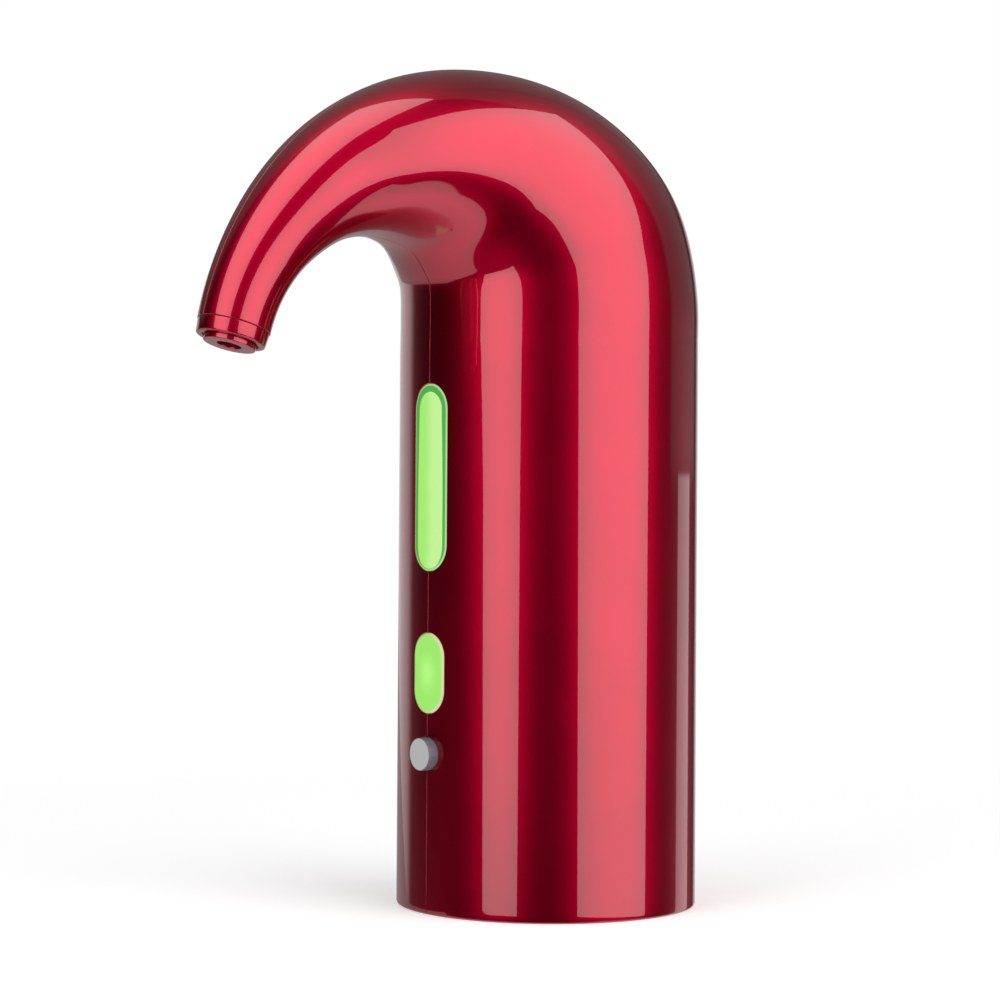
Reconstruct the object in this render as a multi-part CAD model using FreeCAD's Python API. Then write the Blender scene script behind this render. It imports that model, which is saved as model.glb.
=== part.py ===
import FreeCAD, Part
import math
import os

# Electric wine aerator, in millimetres.
# The origin is the centre of the bottle well's mouth, on the plane that the foot rests on. +Z is up,
# the spout and the keys face -Y, and +X is on the right of someone who faces the keys.
# Two lofted half shells hold an upright frame with the board in front and the pump and the cell behind.

Vector = FreeCAD.Vector
UP = Vector(0, 0, 1)
BACK = Vector(0, 1, 0)
RIGHT = Vector(1, 0, 0)
PARTS = "parts"

# Housing
body_radius = 37.5
wall = 2.2
shoulder_height = 149.5
foot_fillet = 0.6
nozzle_reach = 94.8
nozzle_height = 136.8
nozzle_radius = 8.35
nozzle_lean = 16.0
back_turns = (70.1, 54.8, 41.9)
back_first_radius = 55.5
arch_turns = (72.4, 47.2, 47.7)
arch_first_radius = 13.2
sections_per_arc = 3
lead_in = 12.0
loft_degree = 3

# Seam between the half shells
tongue_inset = 0.8
tongue_thickness = 0.6
tongue_height = 0.8
seam_clearance = 0.1

# General clearances
slip = 0.1
loose = 0.3
shaft_clearance = 0.04
press_clearance = 0.02

# Nozzle, measured inward along its own axis from the collar's end face
collar_height = 3.4
collar_flare = 0.11
collar_step = 0.12
collar_lip = 0.5
collar_sleeve_length = 7.0
collar_bore_radius = 5.0
tip_boss_radius = 6.2
tip_boss_height = 1.2
tip_boss_chamfer = 0.2
tip_groove_width = 0.5
tip_groove_depth = 0.6
tip_stem_length = 6.0
outlet_radius = 2.9
outlet_length = 4.8
insert_length = 8.0
throat_radius = 1.2
air_hole_radius = 0.5
barb_length = 5.5

# Front features, by the height of their middle
window_width = 12.5
window_length = 45.4
window_height = 106.2
window_flange = 1.2
key_width = 11.4
key_length = 19.4
key_height = 58.6
key_stand = 0.3
button_radius = 4.0
button_height = 39.0
button_stand = 2.4
button_chamfer = 0.2
key_gap = 0.15
key_flange = 1.2
key_flange_thickness = 1.0
stem_radius = 1.5
key_travel = 0.6

# Board, switches and lamps
board_gap = 6.7
board_thickness = 1.6
board_half_width = 15.5
board_bottom = 32.0
board_top = 144.0
standoff_length = 4.0
processor_size = 7.0
processor_depth = 1.0
processor_height = 99.5
charger_size = 5.0
charger_depth = 1.2
charger_height = 86.5
charger_x = 8.5
inductor_size = 4.0
inductor_depth = 2.0
inductor_height = 113.5
inductor_x = -6.0
switch_size = 6.0
switch_depth = 3.5
plunger_radius = 1.6
plunger_length = 2.4
lamp_width = 2.8
lamp_length = 3.5
lamp_depth = 1.4
window_lamps = 4
window_lamp_pitch = 11.0
key_lamp_offset = 6.5
guide_margin = 1.7
guide_depth = 3.1
screw_radius = 1.0
screw_hole_radius = 0.9
head_radius = 1.9
head_height = 1.2

# Frame
frame_thickness = 2.0
frame_top = 146.0
frame_edge_gap = 0.6
standoff_radius = 2.5
standoff_x = 12.5
standoff_inset = 5.0
shelf_bottom = 66.0
shelf_thickness = 2.0
shelf_wall_gap = 4.3
cradle_thickness = 1.5
web_thickness = 2.0
rib_thickness = 1.0
rib_overlap = 2.0
rib_foot = 6.0
rib_head = 9.5
frame_boss_radius = 3.0
frame_boss_x = 19.2
frame_boss_low = 22.0
frame_boss_high = 132.0
frame_screw_length = 7.0

# Base and bottle well
well_radius = 18.0
well_wall = 2.5
well_depth = 29.0
ledge_radius = 15.6
ledge_height = 1.5
seal_radius = 14.6
seal_depth = 12.0
seal_web = 1.5
seal_web_hole = 12.0
cover_bottom = 1.2
cover_thickness = 2.2
foot_ring_width = 4.0
foot_ring_margin = 0.5
foot_ring_seat = 0.8
ear_radius = 3.2
ear_circle = 21.5
ear_height = 6.0
ear_angles = (90.0, 210.0, 330.0)
post_radius = 3.2
post_wall_gap = 4.8
post_height = 12.0
post_angles = (25.0, 155.0, 205.0, 335.0)
post_web = 3.0
base_screw_length = 9.0
lid_thickness = 3.0
lid_screw_length = 7.0
socket_radius = 3.0
socket_length = 11.0
socket_wall = 2.0
socket_roof = 3.0

# Hoses
hose_radius = 3.2
hose_bore = 2.2
hose_first_radius = 34.0
hose_turns = (65.0, 55.0)
wine_barb_bore = 1.4
air_x = -10.0
air_y = 5.5
air_hose_radius = 2.3
air_hose_bore = 1.35
air_barb_bore = 0.7
air_barb_length = 3.0
air_boss_height = 1.0
valve_radius = 3.0
valve_stub = 2.8
valve_length = 6.0

# Air pump, stacked upwards on the shelf
pump_x = -16.5
pump_y = 5.5
pump_radius = 14.0
pump_cover_height = 3.5
pump_chamber_depth = 1.2
pump_inlet_length = 2.2
valve_plate_height = 2.0
diaphragm_flange = 1.5
housing_height = 18.0
housing_cavity_radius = 11.0
housing_roof = 2.0
pump_screw_circle = 12.4
pump_screw_radius = 0.7
pump_head_radius = 1.3
pump_screw_length = 15.0
pump_angles = (90.0, 210.0, 330.0)
cup_circle = 6.2
cup_radius = 3.6
cup_wall = 0.7
cup_height = 2.6
cup_stem_radius = 1.2
motor_radius = 12.1
motor_length = 31.0
motor_boss_radius = 3.1
motor_rear_boss = 1.5
motor_tab_width = 2.0
motor_tab_thickness = 1.0
shaft_radius = 1.0
shaft_length = 32.0
eccentric_radius = 7.0
eccentric_height = 5.0
eccentric_roof_gap = 0.8
pin_radius = 0.75
pin_lean = 8.0
pin_seat_depth = 2.0
pivot_rise = 5.5
hub_radius = 2.4
hub_height = 3.2
arm_width = 3.6
arm_reach = 8.0
arm_thickness = 1.4

# Cell
cell_x = 17.5
cell_y = 5.5
cell_radius = 9.0
cell_length = 65.0
contact_thickness = 0.5
contact_width = 8.0
cradle_opening = 2.0
cradle_foot = 4.0
cradle_head = 8.0
cell_cradle_share = 0.9

# Leads
lead_radius = 0.55
lead_bend = 4.0
lead_rise = 2.0
motor_lead_x = -13.5
motor_lead_pitch = 8.0
motor_lead_step = 3.0
cell_lead_x = 8.5
cell_tab_reach = 7.0

# Charging socket at the back
port_height = 12.8
port_width = 9.0
port_depth_z = 3.2
port_length = 7.4
port_clearance = 0.2
port_metal = 0.3
port_corner = 1.28
charge_board_thickness = 1.2
charge_board_half_width = 8.0
charge_board_gap = 1.8
charge_post_x = 5.5
charge_post_radius = 2.0
charge_pin_radius = 0.9

# Values worked out from the sizes above
inner_radius = body_radius - wall
neck_bottom = shoulder_height - lead_in
cover_top = cover_bottom + cover_thickness
well_outer = well_radius + well_wall
seal_bottom = well_depth + ledge_height
well_top = seal_bottom + seal_depth + seal_web
lid_top = well_top + lid_thickness
socket_top = well_top + socket_length
wine_boss_top = socket_top + socket_roof
shelf_top = shelf_bottom + shelf_thickness
post_circle = inner_radius - post_wall_gap
foot_ring_radius = post_circle - head_radius - slip - foot_ring_margin - foot_ring_width
board_front = inner_radius - board_gap
board_back = board_front - board_thickness
frame_front = board_back - standoff_length
frame_back = frame_front - frame_thickness
frame_half_width = math.sqrt(inner_radius ** 2 - frame_front ** 2) - frame_edge_gap
valve_plate_bottom = shelf_top + pump_cover_height
diaphragm_bottom = valve_plate_bottom + valve_plate_height
housing_bottom = diaphragm_bottom + diaphragm_flange
motor_bottom = housing_bottom + housing_height
housing_ceiling = motor_bottom - housing_roof
motor_top = motor_bottom + motor_length
eccentric_top = housing_ceiling - eccentric_roof_gap
eccentric_bottom = eccentric_top - eccentric_height
pivot_height = housing_bottom + pivot_rise
air_boss_top = lid_top + air_boss_height
lower_hose_length = air_barb_length + valve_stub + loose
valve_bottom = air_boss_top + lower_hose_length
valve_top = valve_bottom + valve_length
pump_axis = Vector(pump_x, pump_y, 0)
collar_joint_radius = nozzle_radius + collar_flare * collar_height
collar_sleeve_radius = collar_joint_radius - wall - 3 * loose
charge_board_front = well_outer + charge_post_radius
charge_board_back = inner_radius - charge_board_gap
charge_post_y = (charge_board_front + charge_board_back) / 2


def cylinder(radius, bottom, top, x=0.0, y=0.0):
    """An upright cylinder between two heights."""
    return Part.makeCylinder(radius, top - bottom, Vector(x, y, bottom), UP)


def tube(outer, inner, bottom, top, x=0.0, y=0.0):
    """An upright tube between two heights."""
    return cylinder(outer, bottom, top, x, y).cut(cylinder(inner, bottom - 1, top + 1, x, y))


def rod(radius, x, z, front, back):
    """A cylinder along Y between two distances in front of the body axis."""
    return Part.makeCylinder(radius, front - back, Vector(x, -front, z), BACK)


def block(x0, x1, y0, y1, z0, z1):
    """A box between two corners."""
    return Part.makeBox(x1 - x0, y1 - y0, z1 - z0, Vector(x0, y0, z0))


def pill(width, length, middle, front, back):
    """A prism along Y with straight sides and half round ends, its length upright."""
    radius = width / 2
    straight = length / 2 - radius
    left_top = Vector(-radius, -front, middle + straight)
    right_top = Vector(radius, -front, middle + straight)
    right_low = Vector(radius, -front, middle - straight)
    left_low = Vector(-radius, -front, middle - straight)
    crown = Vector(0, -front, middle + length / 2)
    heel = Vector(0, -front, middle - length / 2)
    edges = [
        Part.Arc(left_top, crown, right_top).toShape(),
        Part.LineSegment(right_top, right_low).toShape(),
        Part.Arc(right_low, heel, left_low).toShape(),
        Part.LineSegment(left_low, left_top).toShape(),
    ]
    return Part.Face(Part.Wire(edges)).extrude(Vector(0, front - back, 0))


def around(circle, angles):
    """Points on a circle about the origin, by their angles from +X."""
    points = []
    for angle in angles:
        turn = math.radians(angle)
        points.append((circle * math.cos(turn), circle * math.sin(turn)))
    return points


def turned(profile):
    """A solid of revolution about Z from corner points (radius, height)."""
    corners = [Vector(radius, 0, height) for radius, height in profile]
    face = Part.Face(Part.makePolygon(corners + corners[:1]))
    return face.revolve(Vector(0, 0, 0), UP, 360)


def fused(solids):
    """One solid from touching or overlapping ones."""
    return solids[0].multiFuse(solids[1:]).removeSplitter()


def save(name, shape):
    """Write a piece, or a group of separate solids, to its own file."""
    shape.exportStep(os.path.join(PARTS, name + ".step"))


def side_vector(heading):
    """Unit vector, as (forward, up), to the right of a heading in degrees above the horizontal."""
    angle = math.radians(heading)
    return (math.sin(angle), -math.cos(angle))


def arc_steps(turns):
    """What each arc of a rail adds for each millimetre of its radius, as (forward, up)."""
    steps = []
    heading = 90.0
    for turn in turns:
        before = side_vector(heading)
        after = side_vector(heading - turn)
        steps.append((before[0] - after[0], before[1] - after[1]))
        heading -= turn
    return steps


def closed_radii(start, end, first_radius, turns):
    """Radii of a rail's three arcs: the first is given, and the others bring it to its end."""
    first, second, third = arc_steps(turns)
    forward = end[0] - start[0] - first_radius * first[0]
    up = end[1] - start[1] - first_radius * first[1]
    scale = second[0] * third[1] - third[0] * second[1]
    second_radius = (forward * third[1] - third[0] * up) / scale
    third_radius = (second[0] * up - forward * second[1]) / scale
    return (first_radius, second_radius, third_radius)


def rail(start, radii, turns, steps):
    """Points, as (forward, up), along tangent arcs that start straight up, by equal steps on each arc."""
    points = [start]
    heading = 90.0
    for radius, turn in zip(radii, turns):
        side = side_vector(heading)
        pivot = (points[-1][0] + radius * side[0], points[-1][1] + radius * side[1])
        for step in range(1, steps + 1):
            side = side_vector(heading - turn * step / steps)
            points.append((pivot[0] - radius * side[0], pivot[1] - radius * side[1]))
        heading -= turn
    return points


lean = math.radians(nozzle_lean)
nozzle_out = (math.sin(lean), -math.cos(lean))
nozzle_across = (math.cos(lean), math.sin(lean))
joint_centre = (nozzle_reach - collar_height * nozzle_out[0], nozzle_height - collar_height * nozzle_out[1])
joint_across = (collar_joint_radius * nozzle_across[0], collar_joint_radius * nozzle_across[1])
back_end = (joint_centre[0] + joint_across[0], joint_centre[1] + joint_across[1])
arch_end = (joint_centre[0] - joint_across[0], joint_centre[1] - joint_across[1])
back_radii = closed_radii((-body_radius, shoulder_height), back_end, back_first_radius, back_turns)
arch_radii = closed_radii((body_radius, shoulder_height), arch_end, arch_first_radius, arch_turns)
nozzle_placement = FreeCAD.Placement(
    Vector(0, -nozzle_reach, nozzle_height), FreeCAD.Rotation(RIGHT, -nozzle_lean)
)


def neck_sections():
    """Centre and half chord of each section between the rails, from the body to the collar's joint."""
    back = rail((-body_radius, shoulder_height), back_radii, back_turns, sections_per_arc)
    arch = rail((body_radius, shoulder_height), arch_radii, arch_turns, sections_per_arc)
    sections = [(Vector(0, 0, neck_bottom), Vector(0, -body_radius, 0))]
    for outer, inner in zip(back, arch):
        centre = Vector(0, -(outer[0] + inner[0]) / 2, (outer[1] + inner[1]) / 2)
        chord = Vector(0, -(inner[0] - outer[0]) / 2, (inner[1] - outer[1]) / 2)
        sections.append((centre, chord))
    return sections


def half_ring(centre, chord, side, clearance):
    """Section of a half shell: two half circles, joined along the seam by its tongue or groove."""
    outward = Vector(chord) * (1 / chord.Length)
    outer = chord.Length
    inner = outer - wall
    step_out = outer - tongue_inset + clearance
    step_in = outer - tongue_inset - tongue_thickness - clearance
    rise = RIGHT * (tongue_height + clearance)
    edges = []
    corners = [outward * outer, outward * step_out, outward * step_out + rise]
    corners += [outward * step_in + rise, outward * step_in, outward * inner]
    for start, end in zip(corners, corners[1:]):
        edges.append(Part.LineSegment(centre + start, centre + end).toShape())
    inner_top = centre + RIGHT * side * inner
    edges.append(Part.Arc(centre + outward * inner, inner_top, centre - outward * inner).toShape())
    corners = [-outward * inner, -outward * step_in, -outward * step_in + rise]
    corners += [-outward * step_out + rise, -outward * step_out, -outward * outer]
    for start, end in zip(corners, corners[1:]):
        edges.append(Part.LineSegment(centre + start, centre + end).toShape())
    outer_top = centre + RIGHT * side * outer
    edges.append(Part.Arc(centre - outward * outer, outer_top, centre + outward * outer).toShape())
    return Part.Wire(edges)


def half_skin(side, clearance):
    """One half shell's wall: the section run up the body, then a loft of it along the neck."""
    rings = [half_ring(centre, chord, side, clearance) for centre, chord in neck_sections()]
    body = Part.Face(rings[0]).extrude(Vector(0, 0, -neck_bottom))
    foot = [edge for edge in body.Edges if edge.BoundBox.ZMax < slip and edge.Length > 3 * body_radius]
    outer = [edge for edge in foot if edge.Curve.Radius > body_radius - slip]
    body = body.makeFillet(foot_fillet, outer)
    return fused([body, Part.makeLoft(rings, True, False, False, loft_degree)])


def front_openings():
    """Cuts through the front wall for the window, the key and the button."""
    front = body_radius + wall
    back = inner_radius - 2 * wall
    return [
        pill(window_width + 2 * slip, window_length + 2 * slip, window_height, front, back),
        pill(key_width + 2 * key_gap, key_length + 2 * key_gap, key_height, front, back),
        rod(button_radius + key_gap, 0, button_height, front, back),
    ]


def port_opening():
    """The cut through the back wall for the charging socket's mouth."""
    width = port_width + 2 * port_clearance
    height = port_depth_z + 2 * port_clearance
    half_round = height / 2
    reach = (inner_radius - wall, body_radius + wall)
    side = width / 2 - half_round
    ends = [
        Part.makeCylinder(half_round, reach[1] - reach[0], Vector(x, reach[0], port_height), BACK)
        for x in (-side, side)
    ]
    middle = block(-side, side, reach[0], reach[1], port_height - half_round, port_height + half_round)
    return fused([middle] + ends)


def shell_fittings(side):
    """Ribs that trap the frame, posts for the base screws and, on the left, bosses for the frame."""
    solids = []
    reach = body_radius
    edge = side * (frame_half_width - rib_overlap)
    near, far = sorted((edge, side * reach))
    for front in (frame_front + loose + rib_thickness, frame_back - loose):
        solids.append(block(near, far, -front, -front + rib_thickness, rib_foot, shoulder_height - rib_head))
    for x, y in around(post_circle, post_angles):
        if x * side < 0:
            continue
        solids.append(cylinder(post_radius, cover_top, cover_top + post_height, x, y))
        web = block(0, reach, -post_web / 2, post_web / 2, cover_top, cover_top + post_height)
        angle = math.degrees(math.atan2(y, x))
        web.rotate(Vector(0, 0, 0), UP, angle)
        solids.append(web.cut(cylinder(post_circle, 0, shoulder_height)))
    if side < 0:
        for z in (frame_boss_low, frame_boss_high):
            solids.append(rod(frame_boss_radius, -frame_boss_x, z, reach, frame_front))
    inside = cylinder(body_radius - wall / 2, 0, shoulder_height)
    fittings = fused(solids).common(inside)
    holes = []
    for x, y in around(post_circle, post_angles):
        holes.append(cylinder(screw_hole_radius, 0, cover_top + base_screw_length, x, y))
    for z in (frame_boss_low, frame_boss_high):
        holes.append(rod(screw_hole_radius, -frame_boss_x, z, frame_front + frame_screw_length, frame_back))
    return fittings.cut(Part.makeCompound(holes))


def half_shells():
    """The left and right shells, with a tongue on the left edge that enters a groove in the right."""
    cuts = Part.makeCompound(front_openings() + [port_opening()])
    left = half_skin(-1, 0).cut(cuts)
    right = half_skin(1, seam_clearance).cut(cuts)
    left = left.fuse(shell_fittings(-1)).removeSplitter()
    right = right.fuse(shell_fittings(1)).removeSplitter()
    return left, right


def nozzle_pieces():
    """The collar, the outlet tip and the mixing insert, each about the nozzle's own axis."""
    rim = nozzle_radius - collar_step
    collar = turned([
        (collar_bore_radius, tip_groove_depth),
        (tip_boss_radius + tip_groove_width, tip_groove_depth),
        (tip_boss_radius + tip_groove_width, 0),
        (rim - collar_lip, 0),
        (rim, collar_lip),
        (collar_joint_radius - collar_step, collar_height - slip),
        (collar_sleeve_radius, collar_height - slip),
        (collar_sleeve_radius, collar_sleeve_length),
        (collar_bore_radius, collar_sleeve_length),
    ])
    stem = collar_bore_radius - slip / 2
    tip = turned([
        (outlet_radius, -tip_boss_height),
        (tip_boss_radius - tip_boss_chamfer, -tip_boss_height),
        (tip_boss_radius, tip_boss_chamfer - tip_boss_height),
        (tip_boss_radius, tip_groove_depth),
        (stem, tip_groove_depth),
        (stem, tip_stem_length),
        (hose_bore, tip_stem_length),
        (outlet_radius, outlet_length),
    ])
    insert_end = tip_stem_length + insert_length
    middle = tip_stem_length + insert_length / 2
    insert = turned([
        (hose_bore, tip_stem_length),
        (stem, tip_stem_length),
        (stem, insert_end),
        (hose_bore - slip / 2, insert_end),
        (hose_bore - slip / 2, insert_end + barb_length),
        (wine_barb_bore, insert_end + barb_length),
        (wine_barb_bore, insert_end),
        (throat_radius, middle + 1),
        (throat_radius, middle - 1),
    ])
    for direction in (RIGHT, BACK):
        start = UP * middle - direction * (2 * stem)
        across = Part.makeCylinder(air_hole_radius, 4 * stem, start, direction)
        insert = insert.cut(across)
    for piece in (collar, tip, insert):
        piece.Placement = nozzle_placement
    return collar, tip, insert


def wine_hose():
    """The hose from the lid's barb up the body axis and along the middle of the neck to the insert."""
    insert_end = tip_stem_length + insert_length
    straight_end = insert_end + barb_length + loose
    bend_end = (nozzle_reach - nozzle_out[0] * straight_end, nozzle_height - nozzle_out[1] * straight_end)
    bend_start = (0.0, shoulder_height)
    turns = hose_turns + (180.0 - nozzle_lean - sum(hose_turns),)
    radii = closed_radii(bend_start, bend_end, hose_first_radius, turns)
    stops = [Vector(0, -forward, up) for forward, up in rail(bend_start, radii, turns, 2)]
    start = Vector(0, 0, wine_boss_top)
    edges = [Part.LineSegment(start, stops[0]).toShape()]
    for first in range(0, len(stops) - 1, 2):
        edges.append(Part.Arc(*stops[first:first + 3]).toShape())
    edges.append(Part.LineSegment(stops[-1], nozzle_placement.multVec(UP * insert_end)).toShape())
    path = Part.Wire(edges)
    outer = swept(path, hose_radius, start, UP)
    return outer.cut(swept(path, hose_bore, start, UP))


def swept(path, radius, start, direction):
    """A round rod along a path."""
    section = Part.Wire(Part.Circle(start, direction, radius).toShape())
    return path.makePipeShell([section], True, False)


def air_line():
    """The lower hose, the check valve and the upper hose between the lid and the pump."""
    lower = tube(air_hose_radius, air_hose_bore, air_boss_top, valve_bottom, air_x, air_y)
    upper = tube(air_hose_radius, air_hose_bore, valve_top, shelf_top, air_x, air_y)
    stub = air_hose_bore - slip / 2
    valve = fused([
        cylinder(valve_radius, valve_bottom, valve_top, air_x, air_y),
        cylinder(stub, valve_bottom - valve_stub, valve_top + valve_stub, air_x, air_y),
    ])
    passage = cylinder(air_barb_bore, valve_bottom - wall * 2, valve_top + wall * 2, air_x, air_y)
    return lower, valve.cut(passage), upper


def base_cover():
    """The plate that closes the underside, with the sleeve that guides the bottle's neck."""
    plate = tube(inner_radius - loose, well_radius, cover_bottom, cover_top)
    sleeve = turned([
        (well_radius, 0),
        (well_outer, 0),
        (well_outer, well_top),
        (well_radius, well_top),
        (well_radius, seal_bottom),
        (ledge_radius, seal_bottom),
        (ledge_radius, well_depth),
        (well_radius, well_depth),
    ])
    solids = [plate, sleeve]
    keep_out = cylinder(well_radius, 0, well_top + 1)
    for x, y in around(ear_circle, ear_angles):
        solids.append(cylinder(ear_radius, well_top - ear_height, well_top, x, y).cut(keep_out))
    board_bottom_z = port_height - port_depth_z / 2 - charge_board_thickness
    for x in (-charge_post_x, charge_post_x):
        solids.append(cylinder(charge_post_radius, cover_top, board_bottom_z, x, charge_post_y))
        pin_top = board_bottom_z + 2 * charge_board_thickness
        solids.append(cylinder(charge_pin_radius, board_bottom_z, pin_top, x, charge_post_y))
    cover = fused(solids)
    cuts = []
    for x, y in around(ear_circle, ear_angles):
        cuts.append(cylinder(screw_hole_radius, well_top - ear_height + 1, well_top + 1, x, y))
    for x, y in around(post_circle, post_angles):
        cuts.append(cylinder(screw_radius + slip, 0, cover_top + 1, x, y))
        cuts.append(cylinder(head_radius + slip, 0, cover_bottom + head_height - slip, x, y))
    seat = tube(foot_ring_radius + foot_ring_width, foot_ring_radius, 0, cover_bottom + foot_ring_seat)
    return cover.cut(Part.makeCompound(cuts + [seat]))


def foot_ring():
    """The soft ring that grips the table, seated in the cover."""
    outer = foot_ring_radius + foot_ring_width - slip
    return tube(outer, foot_ring_radius + slip, 0, cover_bottom + foot_ring_seat)


def bottle_seal():
    """The soft cup whose bore grips the bottle's finish and whose web seals on its rim."""
    outer = well_radius - slip
    web_bottom = seal_bottom + seal_depth
    sleeve = tube(outer, seal_radius, seal_bottom, web_bottom)
    web = tube(outer, seal_web_hole, web_bottom, well_top)
    return fused([sleeve, web])


def lid():
    """The lid over the seal: socket for the suction tube below, wine barb and air barb above."""
    solids = [cylinder(well_outer, well_top, lid_top)]
    for x, y in around(ear_circle, ear_angles):
        solids.append(cylinder(ear_radius, well_top, lid_top, x, y))
    solids.append(cylinder(socket_radius + socket_wall, well_top, wine_boss_top))
    solids.append(cylinder(hose_bore - slip / 2, wine_boss_top, wine_boss_top + barb_length))
    solids.append(cylinder(air_hose_radius, lid_top, air_boss_top, air_x, air_y))
    air_barb = air_hose_bore - slip / 2
    solids.append(cylinder(air_barb, air_boss_top, air_boss_top + air_barb_length, air_x, air_y))
    cuts = [
        cylinder(socket_radius, well_top - 1, socket_top),
        cylinder(wine_barb_bore, socket_top, wine_boss_top + barb_length + 1),
        cylinder(air_barb_bore, well_top - 1, air_boss_top + air_barb_length + 1, air_x, air_y),
    ]
    for x, y in around(ear_circle, ear_angles):
        cuts.append(cylinder(screw_radius + slip, well_top - 1, lid_top + 1, x, y))
    return fused(solids).cut(Part.makeCompound(cuts))


def upright_screw(x, y, seat, length, head_side):
    """A pan head screw along Z. Its head lies on the seat, above it for 1 and below it for -1."""
    tip = seat - head_side * length
    shank = cylinder(screw_hole_radius, min(seat, tip), max(seat, tip), x, y)
    head_end = seat + head_side * head_height
    head = cylinder(head_radius, min(seat, head_end), max(seat, head_end), x, y)
    return fused([head, shank])


def level_screw(x, z, seat, length, head_side):
    """A pan head screw along Y. Its head lies in front of the seat for 1 and behind it for -1."""
    tip = seat - head_side * length
    shank = rod(screw_hole_radius, x, z, max(seat, tip), min(seat, tip))
    head_end = seat + head_side * head_height
    head = rod(head_radius, x, z, max(seat, head_end), min(seat, head_end))
    return fused([head, shank])


def light_window():
    """The clear window: its face lies flush with the body and a flange behind holds it in."""
    face = pill(window_width, window_length, window_height, body_radius + wall, 0)
    face = face.common(tube(body_radius, inner_radius - loose, 0, shoulder_height))
    width = window_width + 2 * window_flange
    flange = pill(width, window_length + 2 * window_flange, window_height, body_radius, 0)
    band = tube(inner_radius - slip, inner_radius - slip - wall / 2, 0, shoulder_height)
    return fused([face, flange.common(band)])


def light_guide():
    """The diffuser between the lamps and the window."""
    width = window_width - 2 * guide_margin
    length = window_length - 2 * guide_margin
    back = board_front + lamp_depth + loose
    return pill(width, length, window_height, back + guide_depth, back)


def flange_front(half_width):
    """How far out a flat flange can lie behind the curved wall."""
    return math.sqrt(inner_radius ** 2 - half_width ** 2) - loose


def pour_key():
    """The pill key, its face curved like the body, with its retaining flange and its stem."""
    half_width = key_width / 2 + key_flange
    front = flange_front(half_width)
    back = front - key_flange_thickness
    cap = pill(key_width, key_length, key_height, body_radius + wall, front)
    face = cylinder(body_radius + key_stand, key_height - key_length, key_height + key_length)
    flange = pill(2 * half_width, key_length + 2 * key_flange, key_height, front, back)
    stem = rod(stem_radius, 0, key_height, back, plunger_front())
    return fused([cap.common(face), flange, stem])


def power_button():
    """The round button with its retaining flange and its stem."""
    half_width = button_radius + key_flange
    front = flange_front(half_width)
    back = front - key_flange_thickness
    face = body_radius + button_stand
    cap = rod(button_radius, 0, button_height, face, front)
    rim = [edge for edge in cap.Edges if abs(edge.CenterOfMass.y + face) < slip]
    cap = cap.makeChamfer(button_chamfer, rim)
    flange = rod(half_width, 0, button_height, front, back)
    stem = rod(stem_radius, 0, button_height, back, plunger_front())
    return fused([cap, flange, stem])


def plunger_front():
    """Distance of a switch plunger's face in front of the body axis."""
    return board_front + switch_depth + key_travel + loose


def switch_plunger(height):
    """The moving plunger of a switch, which the key's stem touches."""
    front = plunger_front()
    return rod(plunger_radius, 0, height, front, front - plunger_length)


def tact_switches():
    """The two switch bodies, each with the well that its plunger moves in."""
    bodies = []
    half = switch_size / 2
    well_back = plunger_front() - plunger_length - key_travel - loose
    for height in (key_height, button_height):
        body = block(-half, half, -board_front - switch_depth, -board_front, height - half, height + half)
        well = rod(plunger_radius + slip, 0, height, board_front + switch_depth + 1, well_back)
        bodies.append(body.cut(well))
    return Part.makeCompound(bodies)


def green_leds():
    """The lamps on the board: a row behind the window and a pair for the key."""
    heights = [key_height - key_lamp_offset, key_height + key_lamp_offset]
    first = window_height - window_lamp_pitch * (window_lamps - 1) / 2
    heights += [first + window_lamp_pitch * step for step in range(window_lamps)]
    half = lamp_width / 2
    half_length = lamp_length / 2
    front = -board_front - lamp_depth
    lamps = []
    for height in heights:
        lamps.append(block(-half, half, front, -board_front, height - half_length, height + half_length))
    return Part.makeCompound(lamps)


def standoffs():
    """Places, as (x, z), where the board is fastened to the frame."""
    places = []
    for z in (board_bottom + standoff_inset, board_top - standoff_inset):
        places += [(-standoff_x, z), (standoff_x, z)]
    return places


def board_component(x, height, size, depth):
    """A square component on the back of the board."""
    half = size / 2
    return block(x - half, x + half, -board_back, -board_back + depth, height - half, height + half)


def main_board():
    """The circuit board with its larger components on the back."""
    half = board_half_width
    board = fused([
        block(-half, half, -board_front, -board_back, board_bottom, board_top),
        board_component(0, processor_height, processor_size, processor_depth),
        board_component(charger_x, charger_height, charger_size, charger_depth),
        board_component(inductor_x, inductor_height, inductor_size, inductor_depth),
    ])
    holes = [rod(screw_radius + slip, x, z, board_front + 1, board_back - 1) for x, z in standoffs()]
    return board.cut(Part.makeCompound(holes))


def half_cradle(x, y, radius, bottom, top):
    """A trough round the front of an upright cylinder, with the web that joins it to the frame."""
    outer = radius + loose + cradle_thickness
    trough = tube(outer, radius + loose, bottom, top, x, y)
    trough = trough.cut(block(x - outer, x + outer, y + cradle_opening, y + outer, bottom - 1, top + 1))
    web_end = y - radius - loose - cradle_thickness / 2
    web = block(x - web_thickness / 2, x + web_thickness / 2, -frame_back, web_end, bottom, top)
    return [trough, web]


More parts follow.
